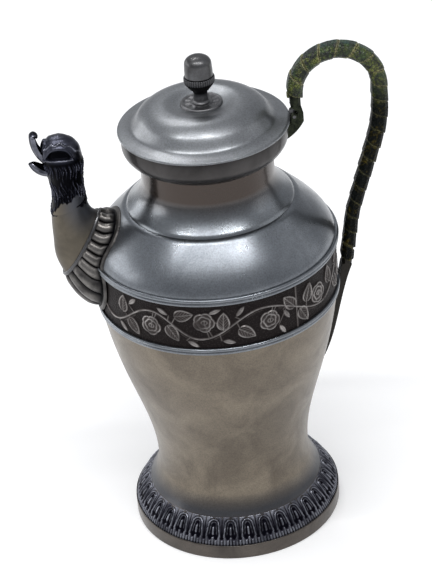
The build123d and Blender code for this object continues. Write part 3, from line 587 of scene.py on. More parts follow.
VINE_LOW = 8.6
VINE_HIGH = 24.2
VINE_TURNS = [-154, -128, -104.5, -75, -38, -12, 14, 38, 62, 86, 110, 134, 158, 182]
ROSES = [(-128.7, 14.3), (-102.4, 20.0), (-71.5, 14.7), (-41.4, 16.3)]
LEAVES = [
    (-145.3, 22.2, 80), (-139.3, 9.8, -50), (-117.6, 11.9, -55), (-111.8, 24.3, 10), (-93.4, 19.9, 85),
    (-82.9, 10.6, -35), (-60.5, 21.5, 130), (-52.5, 9.3, -60), (-48.8, 21.3, 70), (-31.0, 21.5, 95),
]
BUDS = [
    (-138.8, 26.3, 40), (-146.5, 6.0, -40), (-85.3, 25.3, 50), (-91.4, 6.0, -15), (-108.0, 5.5, -30),
    (-62.5, 14.8, -60), (-65.2, 6.0, -60), (-122.0, 25.5, 150), (-97.0, 27.0, 20),
]
SEAM_ANGLE = -57.0


def vine_height(angle):
    """Height of the vine, an even wave through its turns that starts low."""
    turns = np.array([VINE_TURNS[-1] - 360] + VINE_TURNS[:-1] + [VINE_TURNS[-1]])
    levels = np.array([VINE_HIGH] + [VINE_HIGH if i % 2 else VINE_LOW for i in range(len(VINE_TURNS))])
    i = np.clip(np.searchsorted(turns, angle) - 1, 0, len(turns) - 2)
    t = (angle - turns[i]) / (turns[i + 1] - turns[i])
    return levels[i] + (levels[i + 1] - levels[i]) * (1 - np.cos(pi * t)) / 2


def band_places():
    """Roses, leaves and buds: those that the photograph shows, and the same round the back."""
    roses, leaves, buds = list(ROSES), list(LEAVES), list(BUDS)
    for index, angle in enumerate(VINE_TURNS):
        if -30 < angle < 160:
            side = 1 if index % 2 else -1
            middle = (VINE_LOW + VINE_HIGH) / 2
            roses.append((angle, middle - 2.2 * side))
            leaves.append((angle - 9.5, middle - 6.5 * side, -50 if side > 0 else 10))
            leaves.append((angle + 9.0, middle - 4.0 * side, -60 if side > 0 else 80))
            buds.append((angle + 3, middle - 10.5 * side, -20))
            buds.append((angle - 8, middle + 9.0 * side, 40))
    return roses, leaves, buds


def turned(x, y, turn):
    """Coordinates along and across a direction given in degrees."""
    c, s = cos(radians(turn)), sin(radians(turn))
    return x * c + y * s, -x * s + y * c


def rose(x, y):
    """Open rose about 14 mm across: an outer ring of outlined petals, an inner ring and a bud."""
    x, y = x / 1.12, y / 1.12
    away, turn = np.hypot(x, y), np.arctan2(y, x)
    edge = 5.2 + 0.9 * np.abs(np.cos(2.5 * turn + 0.4)) ** 0.6
    inside = smooth(edge - away, 0.0, 0.4)
    outline = ridge(edge - away - 0.55, 1.1)
    inner_edge = 3.1 + 0.5 * np.abs(np.cos(2.5 * turn + 1.9))
    inner_line = ridge(away - inner_edge, 1.0)
    part = 0.8 * ridge(np.sin(2.5 * turn + 0.4 + pi / 2) * away, 0.8) * (away > inner_edge)
    bud_ring = ridge(np.hypot(x - 0.3, y * 1.3) - 1.5, 0.8)
    bud_fold = 0.9 * ridge(x - 0.3, 0.7) * (away < 1.5)
    return inside * (0.24 + 0.74 * np.maximum.reduce([outline, inner_line, part, bud_ring, bud_fold]))


def leaf(x, y, turn):
    """Heart-shaped leaf about 11 by 8 mm, with a raised edge, a midrib and side veins."""
    along, across = turned(x / 1.2, y / 1.2, turn)
    share = np.clip((along + 4.7) / 10, 0, 1)
    half = 8.0 * share**0.45 * (1 - share) ** 0.85
    inside = smooth(half - np.abs(across), -0.1, 0.3)
    outline = ridge(half - np.abs(across) - 0.5, 1.0)
    midrib = 0.8 * ridge(across, 0.6)
    veins = 0.55 * ridge((along - 1.2 * np.abs(across) + 20) % 1.7 - 0.85, 0.6)
    return inside * (0.22 + 0.76 * np.maximum.reduce([outline, midrib, veins]))


def bud(x, y, turn):
    """Pointed bud about 8 mm long."""
    along, across = turned(x / 1.2, y / 1.2, turn)
    half = 1.35 * np.clip(1 - (along / 3.6) ** 2, 0, 1)
    return smooth(half - np.abs(across), -0.05, 0.5) * (0.95 - 0.3 * ridge(across - 0.2, 0.5))


def stalk(x, y, dx, dy):
    """Thin stalk from the origin to (dx, dy)."""
    length = max(hypot(dx, dy), 0.01)
    t = np.clip((x * dx + y * dy) / length**2, 0, 1)
    return 0.72 * ridge(np.hypot(x - t * dx, y - t * dy), 0.8)


def band_relief_height(angles, heights):
    """Height field of the band, 0 on the ground and 1 on the highest petals."""
    per_degree = BAND_RADIUS * radians(1)
    wrapped = (np.degrees(angles) + 180) % 360 - 180
    phi, z = np.meshgrid(wrapped, heights)
    level = vine_height(phi)
    slope = (vine_height(phi + 0.25) - vine_height(phi - 0.25)) / (0.5 * per_degree)
    gap = (z - level) / np.sqrt(1 + slope**2)
    field = np.maximum(0.95 * ridge(gap, 1.25), 0.35 * ridge(gap + 1.5, 0.8) * (np.cos(phi * 0.4) > 0))

    def stamp(shape, place, *more):
        """Raises one ornament, drawn only in the window round its place."""
        nonlocal field
        angle, height = place[0], place[1]
        apart = (wrapped - angle + 180) % 360 - 180
        columns = np.nonzero(np.abs(apart) < 8)[0]
        x = np.broadcast_to(apart[columns] * per_degree, (len(heights), len(columns)))
        y = np.broadcast_to((heights - height)[:, None], x.shape)
        field[:, columns] = np.maximum(field[:, columns], shape(x, y, *more))

    roses, leaves, buds = band_places()
    nearby = np.linspace(-8, 8, 65)
    for angle, height, turn in leaves + buds:
        root = (angle - 4.5 * cos(radians(turn)) / per_degree, height - 4.5 * sin(radians(turn)))
        runs = nearby * per_degree
        climbs = vine_height(root[0] + nearby) - root[1]
        nearest = np.argmin(np.hypot(runs - 1.5, climbs))
        stamp(stalk, root, runs[nearest], climbs[nearest])
    for angle, height in roses:
        for lean in (2.0, 3.6):
            climb = float(vine_height(np.array(angle + lean))) - height
            stamp(stalk, (angle, height), lean * per_degree, climb)
    for place in buds:
        stamp(bud, place, place[2])
    for place in leaves:
        stamp(leaf, place, place[2])
    for place in roses:
        stamp(rose, place)
    seam = 0.5 * smooth((wrapped - SEAM_ANGLE + 180) % 360 - 180, 0, 0.15)
    seam *= smooth(SEAM_ANGLE + 1.6 - wrapped, 0, 1.2)
    return np.maximum(field, seam[None, :])


def add_rose_band():
    """Cast band whose ground lies below the face of its vine, roses and leaves."""
    relief_depth = 0.9
    heights = np.linspace(0, band_top - band_bottom, 112)
    outer = np.stack([np.full(len(heights), BAND_RADIUS), band_bottom + heights], -1)
    inner = outer[::-1] - np.array([BODY_WALL, 0])

    def rise(angles, loop):
        field = np.clip(band_relief_height(angles, heights), 0, 1)
        return outer_rows_only(loop, field, relief_depth)

    lathe("rose_relief", joined(outer, inner[[0, -1]]), band_relief, "jug", "rose_band",
          segments=1280, relief=rise, sharp=70)


def add_mouldings():
    """Two beads under the band and two ridges over its joint with the shoulder."""
    bead = high_of("lower_bead").x
    low = low_of("lower_bead").z
    high = high_of("lower_bead").z
    middle = (low + high) / 2
    valley = (BAND_RADIUS + 0.1, middle)
    lower = joined(
        arc((BAND_RADIUS - 0.7, low), (bead - 0.3, (low + middle) / 2), valley, 10),
        arc(valley, (bead, (middle + high) / 2), (BAND_RADIUS, high), 10),
        [(BAND_RADIUS - 0.9, high), (BAND_RADIUS - 1.2, low)],
    )
    lathe("band_beads", lower, bright_pewter, "jug", "lower_bead", sharp=50)
    ridge_out = high_of("upper_moulding").x
    low = low_of("upper_moulding").z
    high = high_of("upper_moulding").z
    third = (high - low) / 3
    valley = (ridge_out - 0.9, low + third * 1.45)
    upper = joined(
        arc((BAND_RADIUS, low), (ridge_out - 0.2, low + third * 0.75), valley, 10),
        arc(valley, (ridge_out, low + third * 2.1), (BAND_RADIUS - 0.1, high), 10),
        [(BAND_RADIUS - 1.4, high), (BAND_RADIUS - 1.4, low)],
    )
    lathe("shoulder_ridges", upper, bright_pewter, "jug", "upper_moulding", sharp=50)


# Lid and finial

LID_BOTTOM = 266.45
CROWN_TOP = 15.8
DISH = 14.0
ROSETTE_THICK = 1.2


def add_lid():
    """Flange, domed crown and dish, spun from one sheet."""
    z = LID_BOTTOM
    rim = high_of("lid_shell").y
    edge = rim - 0.5
    flange_end = (42.4, z + 3.25, tan(radians(-22)))
    crown_shoulder = (36.2, z + 10.6, tan(radians(-41)))
    crown_top = (22.6, z + CROWN_TOP, tan(radians(-3)))
    dish_edge = (13.2, z + DISH, tan(radians(6)))
    underside = [
        (2.0, z + 12.5), (13.2, z + 12.5), (22.6, z + 14.0), (31.6, z + 11.0), (37.2, z + 8.2),
        (38.4, z + 4.6), (40.6, z + 1.9),
    ]
    shell = joined(
        [(45.1, z), (edge, z)],
        arc((edge, z), (rim, z + 0.8), (edge, z + 1.6), 8),
        arc((edge, z + 1.6), (45.8, z + 2.15), flange_end[:2], 6),
        between(flange_end, crown_shoulder, 16)[:, ::-1],
        between(crown_shoulder, crown_top, 18)[:, ::-1],
        between(crown_top, dish_edge, 9)[:, ::-1],
        [(2.0, z + DISH)],
        underside,
    )
    lathe("lid_sheet", shell, lid_pewter, "lid", "lid_shell", sharp=45)


def add_rosette():
    """Stamped disc with twelve petals inside a raised rim."""
    z = LID_BOTTOM + DISH
    top = z + ROSETTE_THICK
    rim = high_of("finial_rosette").y
    petals_start = 5.6
    row_gap = 0.25
    disc = joined(
        [(2.0, z), (2.0, top)],
        [(petals_start + row_gap * step, top) for step in range(20)],
        arc((rim - 1.4, top), (rim - 0.8, top + 0.15), (rim - 0.2, top - 0.35), 6),
        [(rim, z)],
    )

    def rise(angles, loop):
        radius, phi = loop[:, :1], angles[None, :]
        petal = np.abs(np.sin(6 * phi)) ** 0.6 * smooth(radius, 6.2, 7.0) * smooth(10.4 - radius, 0, 0.9)
        flat = (np.abs(loop[:, 1:] - top) < 0.01) & (radius < 10.6)
        height = np.where(flat, petal, 0)
        colour = np.where(flat, 0.5 + 0.3 * petal, np.where(radius > 10, 0.95, 0.3))
        return 0.38 * height, np.broadcast_to(colour, height.shape)

    lathe("rosette_disc", disc, rosette_relief, "lid", "finial_rosette",
          segments=288, relief=rise, sharp=60)


def add_finial():
    """Flared stem, cup with a ribbed rim, and the plain acorn above it."""
    foot = LID_BOTTOM + DISH + ROSETTE_THICK
    cup = foot + 6.6
    top = foot + 16.2
    neck = 4.0
    flare = 5.2
    stud = 2.0
    socket = 2.5
    socket_top = top + 4.9
    ribbed_from = top - 3.0
    stud_bottom = low_of("finial_stem").z
    rim = high_of("finial_stem").y
    outline = joined(
        [(stud, stud_bottom), (stud, foot), (flare, foot)],
        arc((flare, foot + 0.3), (4.4, foot + 0.9), (neck + 0.1, foot + 2.2), 9),
        [(neck, foot + 4.0), (neck, cup)],
        between((cup, neck, 0.9), (ribbed_from, rim - 0.1, 0.3), 12),
        [(rim, top - 2.9), (rim, top - 2.2), (rim, top - 1.5), (rim, top - 0.8), (rim - 0.25, top - 0.2)],
        [(rim - 0.8, top), (socket, top), (socket, socket_top), (0.01, socket_top), (0.01, stud_bottom)],
    )

    def rise(angles, loop):
        ribs = np.abs(np.sin(20 * angles))[None, :] ** 0.7
        near_rim = (loop[:, :1] > rim - 0.3) & (loop[:, 1:] > ribbed_from - 0.1)
        below_cup = smooth(cup - loop[:, 1:], 0, 3.5)
        height = np.where(near_rim, 0.5 * ribs, 0.6 * below_cup)
        return np.where(near_rim, (ribs - 1) * 0.5, 0), height

    lathe("finial_cup", outline, rosette_relief, "lid", "finial_stem",
          segments=320, relief=rise, sharp=50)
    crown = high_of("finial_acorn").z - 1.3
    radius = high_of("finial_acorn").y - 0.35
    side_top = top + (crown - top) * 0.6
    turns = np.linspace(0, pi / 2, 22)
    dome_radius = 0.965 * radius * np.cos(turns) ** 0.8
    dome = np.stack([dome_radius, side_top + (crown - side_top) * np.sin(turns)], -1)
    dome[-1, 0] = 0.01
    base = top + 0.05
    acorn = joined(
        [(socket + 0.1, base), (radius - 0.6, base), (radius, top + 0.6)],
        [(radius - 0.05, (top + side_top) / 2)],
        dome,
        [(0.01, socket_top + 0.1), (socket + 0.1, socket_top + 0.1)],
    )
    lathe("acorn_cap", acorn, acorn_pewter, "lid", "finial_acorn", segments=128)


# Spout. Stations are (reach beyond the band, height above the band's top, depth, width, tilt).

RIM_STATION = (5.9, 9.1, 44.6, 24.0, 32.7)
SOCKET_STATIONS = [
    RIM_STATION,
    (-0.1, 0.7, 54.2, 40.0, 21.9),
    (-9.0, -4.2, 60.8, 52.0, 13.8),
    (-17.0, -7.6, 63.0, 58.0, 9.0),
]
NECK_STATION = (10.6, 35.8, 22.8, 20.0, 66.7)
BREAST_STATIONS = [RIM_STATION, (9.5, 16.5, 37.2, 23.0, 41.2), (10.6, 25.8, 29.4, 21.6, 49.8), NECK_STATION]
HEAD_STATIONS = [
    NECK_STATION,
    (9.8, 46.3, 18.4, 18.0, 84.0),
    (10.0, 53.8, 20.2, 18.8, 90.0),
    (10.5, 60.3, 22.4, 20.0, 90.0),
    (10.8, 68.3, 23.0, 20.4, 90.0),
    (11.3, 74.8, 20.6, 17.2, 90.0),
    (12.0, 78.8, 14.0, 11.0, 90.0),
    (12.2, 80.5, 6.0, 5.0, 90.0),
    (12.2, 80.9, 1.0, 0.8, 90.0),
]
SPOUT_WALL = 2.2


def along_stations(stations, share):
    """Station values at shares 0 to 1 of the way along, on a smooth curve through all of them."""
    values = np.array(stations)
    steps = np.linalg.norm(np.diff(values[:, :2], axis=0), axis=1)
    at = np.concatenate([[0], np.cumsum(steps)]) / steps.sum()
    slopes = np.gradient(values, at, axis=0)
    i = np.clip(np.searchsorted(at, share, side="right") - 1, 0, len(at) - 2)
    span = (at[i + 1] - at[i])[:, None]
    t = (share - at[i])[:, None] / span
    return hermite(t, values[i], values[i + 1], span * slopes[i], span * slopes[i + 1])


def oval_grid(stations, turns, inset=0.0):
    """Points of oval sections across the spout, one row for each station."""
    reach, rise, depth, width, tilt = (np.asarray(stations)[:, k][:, None] for k in range(5))
    lean = np.radians(tilt)
    up = np.maximum(depth / 2 - inset, 0.2) * np.cos(turns)
    x = -BAND_RADIUS - reach + up * np.sin(lean)
    z = band_top + rise + up * np.cos(lean)
    y = np.maximum(width / 2 - inset, 0.2) * np.sin(turns) * np.ones_like(x)
    return np.stack([x, y, z], -1)


def grid_normals(grid):
    """Unit normals of a grid whose columns run all the way round, facing away from its middle."""
    along = np.gradient(grid, axis=0)
    across = np.roll(grid, -1, 1) - np.roll(grid, 1, 1)
    normal = np.cross(across, along)
    normal /= np.maximum(np.linalg.norm(normal, axis=2, keepdims=True), 1e-9)
    outward = grid - grid.mean(axis=1, keepdims=True)
    flip = np.sign((normal * outward).sum(axis=2).sum())
    return normal * flip


def shell_piece(name, outer, inner, material, node, attributes, cut=None, sharp=50):
    """Closed wall between an outer and an inner grid, open right through where cut says so."""
    rows, columns = outer.shape[:2]
    faces = grid_faces(rows, columns)
    offset = rows * columns
    gone = np.zeros(len(faces), bool) if cut is None else cut(outer.reshape(-1, 3)[faces].mean(axis=1))
    kept = faces[~gone]
    sides = {(int(a), int(b)) for face in kept for a, b in zip(face, np.roll(face, -1))}
    border = [(a, b) for a, b in sorted(sides) if (b, a) not in sides]
    walls = [(b, a, a + offset, b + offset) for a, b in border]
    all_faces = np.concatenate([kept, kept[:, ::-1] + offset, np.array(walls)])
    points = np.concatenate([outer.reshape(-1, 3), inner.reshape(-1, 3)])
    shades = {key: np.concatenate([values.ravel(), np.zeros(offset)]) for key, values in attributes.items()}
    make_piece(name, points, all_faces, material, "jug", node, shades, sharp)


def length_along(points):
    """Distance along a line of points, at each point."""
    steps = np.linalg.norm(np.diff(points, axis=0), axis=1)
    return np.concatenate([[0], np.cumsum(steps)])


def body_profile():
    """Outline of the standing body round the spout, with its outward normals."""
    upper_belly, lower_neck = belly_curve[30:], neck_curve[:8]
    line = joined(upper_belly, [(BAND_RADIUS, band_bottom)], shoulder_curve, lower_neck)
    at = length_along(line)
    even = np.linspace(0, at[-1], 400)
    line = np.stack([np.interp(even, at, line[:, k]) for k in (0, 1)], -1)
    run = running_mean(np.gradient(line, axis=0), 6, "edge")
    run /= np.linalg.norm(run, axis=1, keepdims=True)
    return line, np.stack([run[:, 1], -run[:, 0]], -1)


def running_mean(values, reach, ends):
    """Mean of each row and its neighbours within reach; ends is edge for a line and wrap for a ring."""
    padded = np.pad(values, [(reach, reach)] + [(0, 0)] * (values.ndim - 1), ends)
    return np.lib.stride_tricks.sliding_window_view(padded, 2 * reach + 1, axis=0).mean(axis=-1)


def even_turns(columns):
    """Turns round the socket's rim, an even length of rim apart, with the share of the way at each."""
    fine = np.linspace(0, 2 * pi, 721)
    at = length_along(oval_grid([RIM_STATION], fine)[0])
    shares = np.arange(columns) / columns
    return np.interp(shares * at[-1], at, fine), shares


def socket_sheet(turns, rows):
    """Plain surface of the socket, from its rim to the line where it meets the body."""
    share = np.linspace(0, 1, 160)
    sweep = turns[None, :] - 0.55 * share[:, None] * np.sin(turns)[None, :]
    sheet = oval_grid(along_stations(SOCKET_STATIONS, share), sweep)
    away = np.hypot(sheet[..., 0], sheet[..., 1]) - body_radius(sheet[..., 2])
    gap = 0.3 + 2.6 * np.clip(np.cos(turns), 0, 1) ** 2
    met = away < gap
    first = np.where(met.any(axis=0), np.argmax(met, axis=0), len(share) - 1)
    columns = np.arange(len(turns))
    before, after = away[first - 1, columns], away[first, columns]
    reaches = first - np.clip((gap - after) / np.maximum(before - after, 1e-3), 0, 1)
    reaches = running_mean(reaches, 5, "wrap")
    outer = np.zeros((rows, len(turns), 3))
    for column in columns:
        stops = np.linspace(0, 1, rows) * reaches[column]
        for axis in range(3):
            outer[:, column, axis] = np.interp(stops, np.arange(len(share)), sheet[:, column, axis])
    return outer


def flange_rows(line, count):
    """Plain flange that lies on the body outside a closed line, with a rounded outer edge."""
    width, tuck, thickness = 2.6, 0.2, 1.1
    profile, facing = body_profile()
    radius, angle = np.hypot(line[:, 0], line[:, 1]), np.arctan2(line[:, 1], line[:, 0])
    gaps = np.hypot(radius[:, None] - profile[:, 0], line[:, 2][:, None] - profile[:, 1])
    nearest = np.argmin(gaps, axis=1)

    def round_axis(values):
        """(radius, height) pairs as points at each column's own angle."""
        return np.stack([values[:, 0] * np.cos(angle), values[:, 0] * np.sin(angle), values[:, 1]], -1)

    normal, seat = round_axis(facing[nearest]), round_axis(profile[nearest])
    out = np.cross(np.roll(seat, -1, 0) - np.roll(seat, 1, 0), normal)
    out *= np.sign((out * (seat - seat.mean(axis=0))).sum())
    out = running_mean(out / np.linalg.norm(out, axis=1, keepdims=True), 6, "wrap")
    rows = []
    for share in np.linspace(0, 1, count):
        lift = thickness * sqrt(max(1 - share**4, 0.0)) - 0.1
        rows.append(seat + out * (tuck + width * share) + normal * lift)
    return np.array(rows)


def add_socket():
    """Gadrooned socket: eighteen fat lobes with rounded ends above a plain flange on the body."""
    lobe_count, rows = 18, 44
    lobe_height, channel_depth, thickness = 1.8, 0.8, 1.2
    turns, shares = even_turns(lobe_count * 18)
    sheet = socket_sheet(turns, rows)
    outer = np.concatenate([sheet, flange_rows(sheet[-1], 7)])
    normals = grid_normals(outer)
    lobes = np.abs(np.sin(lobe_count * pi * shares)) ** 0.55
    steps = np.linspace(0, 1, rows)
    ends = np.sqrt(np.clip(steps / 0.16, 0, 1)) * np.sqrt(np.clip((0.94 - steps) / 0.2, 0, 1))
    channel_ends = smooth(steps, 0.02, 0.2) * smooth(0.98 - steps, 0, 0.1)
    swell = np.zeros(outer.shape[:2])
    swell[:rows] = ends[:, None] * lobes * lobe_height
    hollow = np.zeros_like(swell)
    hollow[:rows] = -channel_depth * channel_ends[:, None] * (1 - lobes)
    colour = np.clip(swell / lobe_height, 0, 1) ** 2
    colour[rows:] = 0.45
    skin = outer + normals * (swell + hollow)[..., None]
    shell_piece("gadrooned_socket", skin, outer - normals * thickness, socket_relief, "spout_socket",
                {"relief": colour}, sharp=55)


def add_socket_rim():
    """Round bead over the joint between the socket and the breast."""
    columns, sides, thick = 96, 14, 1.35
    line = oval_grid([RIM_STATION], np.arange(columns) / columns * 2 * pi)[0]
    lean = radians(RIM_STATION[4])
    forward = np.array([-cos(lean), 0, sin(lean)])
    outward = line - line.mean(axis=0)
    outward /= np.linalg.norm(outward, axis=1, keepdims=True)
    roll = (np.arange(sides) / sides * 2 * pi)[:, None, None]
    grid = line[None] + thick * (np.cos(roll) * outward[None] + np.sin(roll) * forward)
    faces = grid_faces(sides, columns, wrap_rows=True)
    make_piece("socket_bead", grid.reshape(-1, 3), faces, dark_pewter, "jug", "spout_rim",
               sharp=60)


def add_breast():
    """Smooth breast of the bird, with the tips of the neck feathers lying on it."""
    turns = np.arange(288) / 288 * 2 * pi
    share = np.linspace(0, 1, 90)
    feather_height = 0.6
    stations = along_stations(BREAST_STATIONS, share)
    outer = oval_grid(stations, turns)
    inner = oval_grid(stations, turns, SPOUT_WALL)
    below = np.linalg.norm(outer - outer[-1:], axis=2)
    tips = 3.6 * smooth(np.cos(turns), 0.3, 0.9) + 1.2 * smooth(-np.cos(turns), 0.5, 0.95)
    tips = tips * (0.5 + 0.5 * np.abs(np.cos(8 * turns)))
    feather = smooth(tips[None, :] - below, -0.1, 0.5) * smooth(tips, 0.1, 0.6)[None, :]
    quills = np.abs(np.cos(22 * turns + 0.2))[None, :] ** 0.6
    height = feather * (0.2 + 0.5 * quills) * smooth(below, -0.5, 0.5)
    # Painted shade: the breast darkens along its length and towards the upper side of each section.
    shade = smooth(np.cos(turns)[None, :] + 1.1 * share[:, None], 0.35, 1.5)
    skin = outer + grid_normals(outer) * (height * feather_height)[..., None]
    shell_piece("bird_breast", skin, inner, breast_pewter, "spout_breast",
                {"relief": feather, "shade": shade})


def neck_locks(turns, rise):
    """Streaks of neck feathers, 1 on their ridges, in three sets that break off and overlap."""
    around = turns[None, :] * 9.0
    locks = np.zeros_like(rise)
    for count, wave, rate, lean in ((9, 1.4, 0.33, 0.0), (13, 0.9, 0.47, 0.12), (17, 0.7, 0.62, -0.1)):
        line = np.sin(count * turns[None, :] + wave * np.sin(rise * rate + count) + lean * rise)
        gate = smooth(np.sin(rise * 0.37 + count * 1.7 + np.sin(around + count)), -0.4, 0.5)
        locks = np.maximum(locks, ridge(line, 0.42) * gate)
    return locks


def add_head():
    """Head and neck: hollow eyes under wavy brows, ribbed cere, streaked neck feathers, open mouth."""
    turns = np.arange(240) / 240 * 2 * pi
    stations = along_stations(HEAD_STATIONS, np.linspace(0, 1, 190))
    outer = oval_grid(stations, turns)
    inner = oval_grid(stations, turns, SPOUT_WALL)
    y = outer[..., 1]
    ahead = -outer[..., 0] - BAND_RADIUS
    rise = outer[..., 2] - band_top
    side = smooth(np.abs(y), 3.0, 5.5)

    eye_ahead, eye_bottom, eye_top, brow_rise = 12.6, 69.3, 75.2, 77.4
    from_eye = ahead - eye_ahead
    lower_lid = rise - eye_bottom + 0.01 * from_eye**2
    upper_lid = rise - eye_top + 0.03 * from_eye**2 + 0.0014 * from_eye**4
    within = smooth(9.0 - np.abs(from_eye), 0.0, 1.5) * side
    hollow = smooth(lower_lid, 0.0, 1.2) * smooth(-upper_lid, -0.3, 1.0) * within
    lid_line = ridge(lower_lid + 0.3, 1.1) * within
    fold = ridge(upper_lid - 0.9, 1.6) * within
    zigzag = np.abs((ahead * 0.18) % 1 - 0.5)
    brow_line = brow_rise + 2.4 * zigzag - 0.05 * from_eye**2
    brow = ridge(rise - brow_line, 0.9) * smooth(np.abs(y), 3.4, 4.6)
    cere = smooth(ahead, 18.8, 19.8) * smooth(rise, 67.0, 68.5)
    cere_ribs = cere * np.abs(np.cos(y * 1.25)) ** 0.6

    above = np.linalg.norm(outer - outer[:1], axis=2)
    fork = 7.5 * np.abs(np.sin(turns)) ** 1.6 * (0.8 + 0.2 * np.cos(6 * turns))
    fork += 1.1 * np.abs(np.cos(12 * turns))
    at_side = smooth(np.abs(np.sin(turns)), 0.25, 0.45)
    bare = smooth(fork[None, :] - above, -0.3, 0.5) * at_side[None, :]
    # Painted shade on the bare patch, darker on its upper side and further up.
    shade = smooth(np.cos(turns)[None, :] + 1.1 + 0.02 * above, 0.35, 1.5)
    locks = neck_locks(turns, rise) * smooth(66.5 - rise, 0, 3) * (1 - bare)

    height = 0.5 * lid_line + 0.4 * fold + 0.75 * brow + 0.9 * cere_ribs + 0.7 * locks - 1.7 * hollow
    colour = np.maximum.reduce([0.9 * lid_line, 0.32 * fold, 1.1 * brow, 0.6 * cere_ribs, 0.8 * locks])
    # The plain head above the feathers is lighter than the blackened ground: partly its own tone, partly
    # painted sheen on the crown.
    crown_tone_and_sheen = 0.5 * smooth(rise, 66, 70)
    colour = np.clip(np.maximum(colour, crown_tone_and_sheen), 0, 1) * (1 - 0.97 * hollow)

    def mouth(points):
        """Which points lie in the bore's oval end, on the face side."""
        mouth_rise, half_width, half_height = 62.1, 3.2, 3.0
        ahead_here = -points[:, 0] - BAND_RADIUS
        up_here = points[:, 2] - band_top - mouth_rise
        hole = (points[:, 1] / half_width) ** 2 + (up_here / half_height) ** 2
        return (hole < 1) & (ahead_here > 12)

    skin = outer + grid_normals(outer) * height[..., None]
    shell_piece("bird_head_skin", skin, inner, black_relief, "bird_head",
                {"relief": colour, "bare": bare, "shade": shade}, cut=mouth, sharp=60)


def tube_faces(rows, columns):
    """Quads of a tube of closed sections, its ends capped by quads across."""
    near_end = [[j, j + 1, columns - 2 - j, columns - 1 - j] for j in range(columns // 2 - 1)]
    far_end = [[(rows - 1) * columns + k for k in face] for face in near_end]
    return np.concatenate([grid_faces(rows, columns), near_end, far_end])


def trough(name, line, half_widths, curl, thickness, node):
    """A bill: a thin plate along a line in the middle plane, its sides curled towards one face."""
    tangent = np.gradient(line, axis=0)
    tangent /= np.linalg.norm(tangent, axis=1, keepdims=True)
    facing = np.stack([-tangent[:, 1], tangent[:, 0]], -1)
    v = np.linspace(-1, 1, 25)
    half = half_widths[:, None]
    lift = curl * np.abs(v)[None, :] ** 2.2 * (half / max(half_widths))
    skins = []
    for depth in (0.0, thickness):
        x = line[:, :1] + facing[:, :1] * (lift + depth)
        z = line[:, 1:] + facing[:, 1:] * (lift + depth)
        y = half * v[None, :] * (1 - 0.1 * depth / thickness)
        skins.append(np.stack([x, y, z], -1))
    around = np.concatenate([skins[0], skins[1][:, ::-1]], axis=1)
    rows, columns = around.shape[:2]
    shade = np.tile(np.concatenate([0.15 + 0.85 * np.abs(v) ** 4] * 2), rows)
    make_piece(name, around.reshape(-1, 3), tube_faces(rows, columns), black_relief, "jug", node,
               {"relief": shade}, sharp=50)


def add_bills():
    """Upper bill that rises before the face and curls back, and the spoon of the lower bill."""
    face = -BAND_RADIUS - 10.8 - 11.5
    root = band_top + 65.7
    tip_z = band_top + 82.2
    bend = (face - 5.9, tip_z)
    rise = arc((face - 0.6, root), (face - 4.9, root + 7.6), bend, 20)
    curl = arc(bend, (face - 3.2, tip_z + 2.6), (face - 0.9, tip_z - 1.4), 16)
    line = joined(rise, curl)
    share = np.linspace(0, 1, len(line))
    widths = 5.2 - 2.0 * smooth(share, 0.1, 0.8) - 1.6 * smooth(share, 0.75, 1.0)
    trough("upper_bill_plate", line[::-1], widths[::-1], 2.0, 2.1, "upper_bill")
    spoon_low, spoon_high = band_top + 55.7, band_top + 64.7
    keel = arc((face + 1.6, spoon_low), (face - 4.6, spoon_low + 3.1), (face - 8.2, spoon_high), 22)
    share = np.linspace(0, 1, len(keel))
    widths = 4.9 * np.sqrt(np.clip(1 - (share * 0.97) ** 3, 0.02, 1))
    trough("lower_bill_spoon", keel[::-1], widths[::-1], 3.4, 1.6, "lower_bill")


# Handle binding


def rounded_corner(before, corner, after, radius, steps=24):
    """Points of the arc that rounds a corner."""
    a, c, b = (np.array(point, float) for point in (before, corner, after))
    to_a, to_b = (a - c) / np.linalg.norm(a - c), (b - c) / np.linalg.norm(b - c)
    half = np.arccos(np.clip(to_a @ to_b, -1, 1)) / 2
    centre = c + (to_a + to_b) / np.linalg.norm(to_a + to_b) * radius / sin(half)
    start, end = c + to_a * radius / np.tan(half), c + to_b * radius / np.tan(half)
    nearest = centre + (c - centre) / np.linalg.norm(c - centre) * radius
    return arc(start, nearest, end, steps)


LEG_X = 53.8
LOOP_Z = 279.35
LOOP_RADIUS = 24.6
BACK_LEG_X = 103.0
LEG_BOTTOM = 272.05
KNEE = (103.0, 257.35)
BEND = (83.4, 197.0)
BINDING_END = (78.0, 163.0)
STRIP_GAP = 0.14
STRIP_LIFT = 0.2
# Outline of the strip's section: place across it in widths, and height in thicknesses.
STRIP_SECTION = [
    (-0.5, 0.0), (-0.5, 0.7), (-0.47, 0.9), (-0.4, 0.98), (-0.1, 1.0), (0.2, 1.0), (0.4, 0.99),
    (0.47, 0.94), (0.5, 0.8), (0.5, 0.12), (0.4, 0.0), (0.1, 0.0),
]


def handle_line():
    """The handle's centre line as close points (x, z), with the distance along at each."""
    points = joined(
        [(LEG_X, LEG_BOTTOM), (LEG_X, LOOP_Z)],
        arc((LEG_X, LOOP_Z), (LEG_X + LOOP_RADIUS, LOOP_Z + LOOP_RADIUS), (BACK_LEG_X, LOOP_Z), 90),
        rounded_corner((BACK_LEG_X, LOOP_Z), KNEE, BEND, 80.0),
        rounded_corner(KNEE, BEND, BINDING_END, 60.0),
        [BINDING_END],
    )
    return points, length_along(points)


def core_corners():
    """Corners of the handle's chamfered section, as (out, across), in the order of winding."""
    half_depth, half_width, chamfer = 3.0, 3.7, 1.6
    quarter = [(half_depth, half_width - chamfer), (half_depth - chamfer, half_width)]
    half = quarter + [(-out, across) for out, across in quarter[::-1]]
    return half + [(-out, -across) for out, across in half]


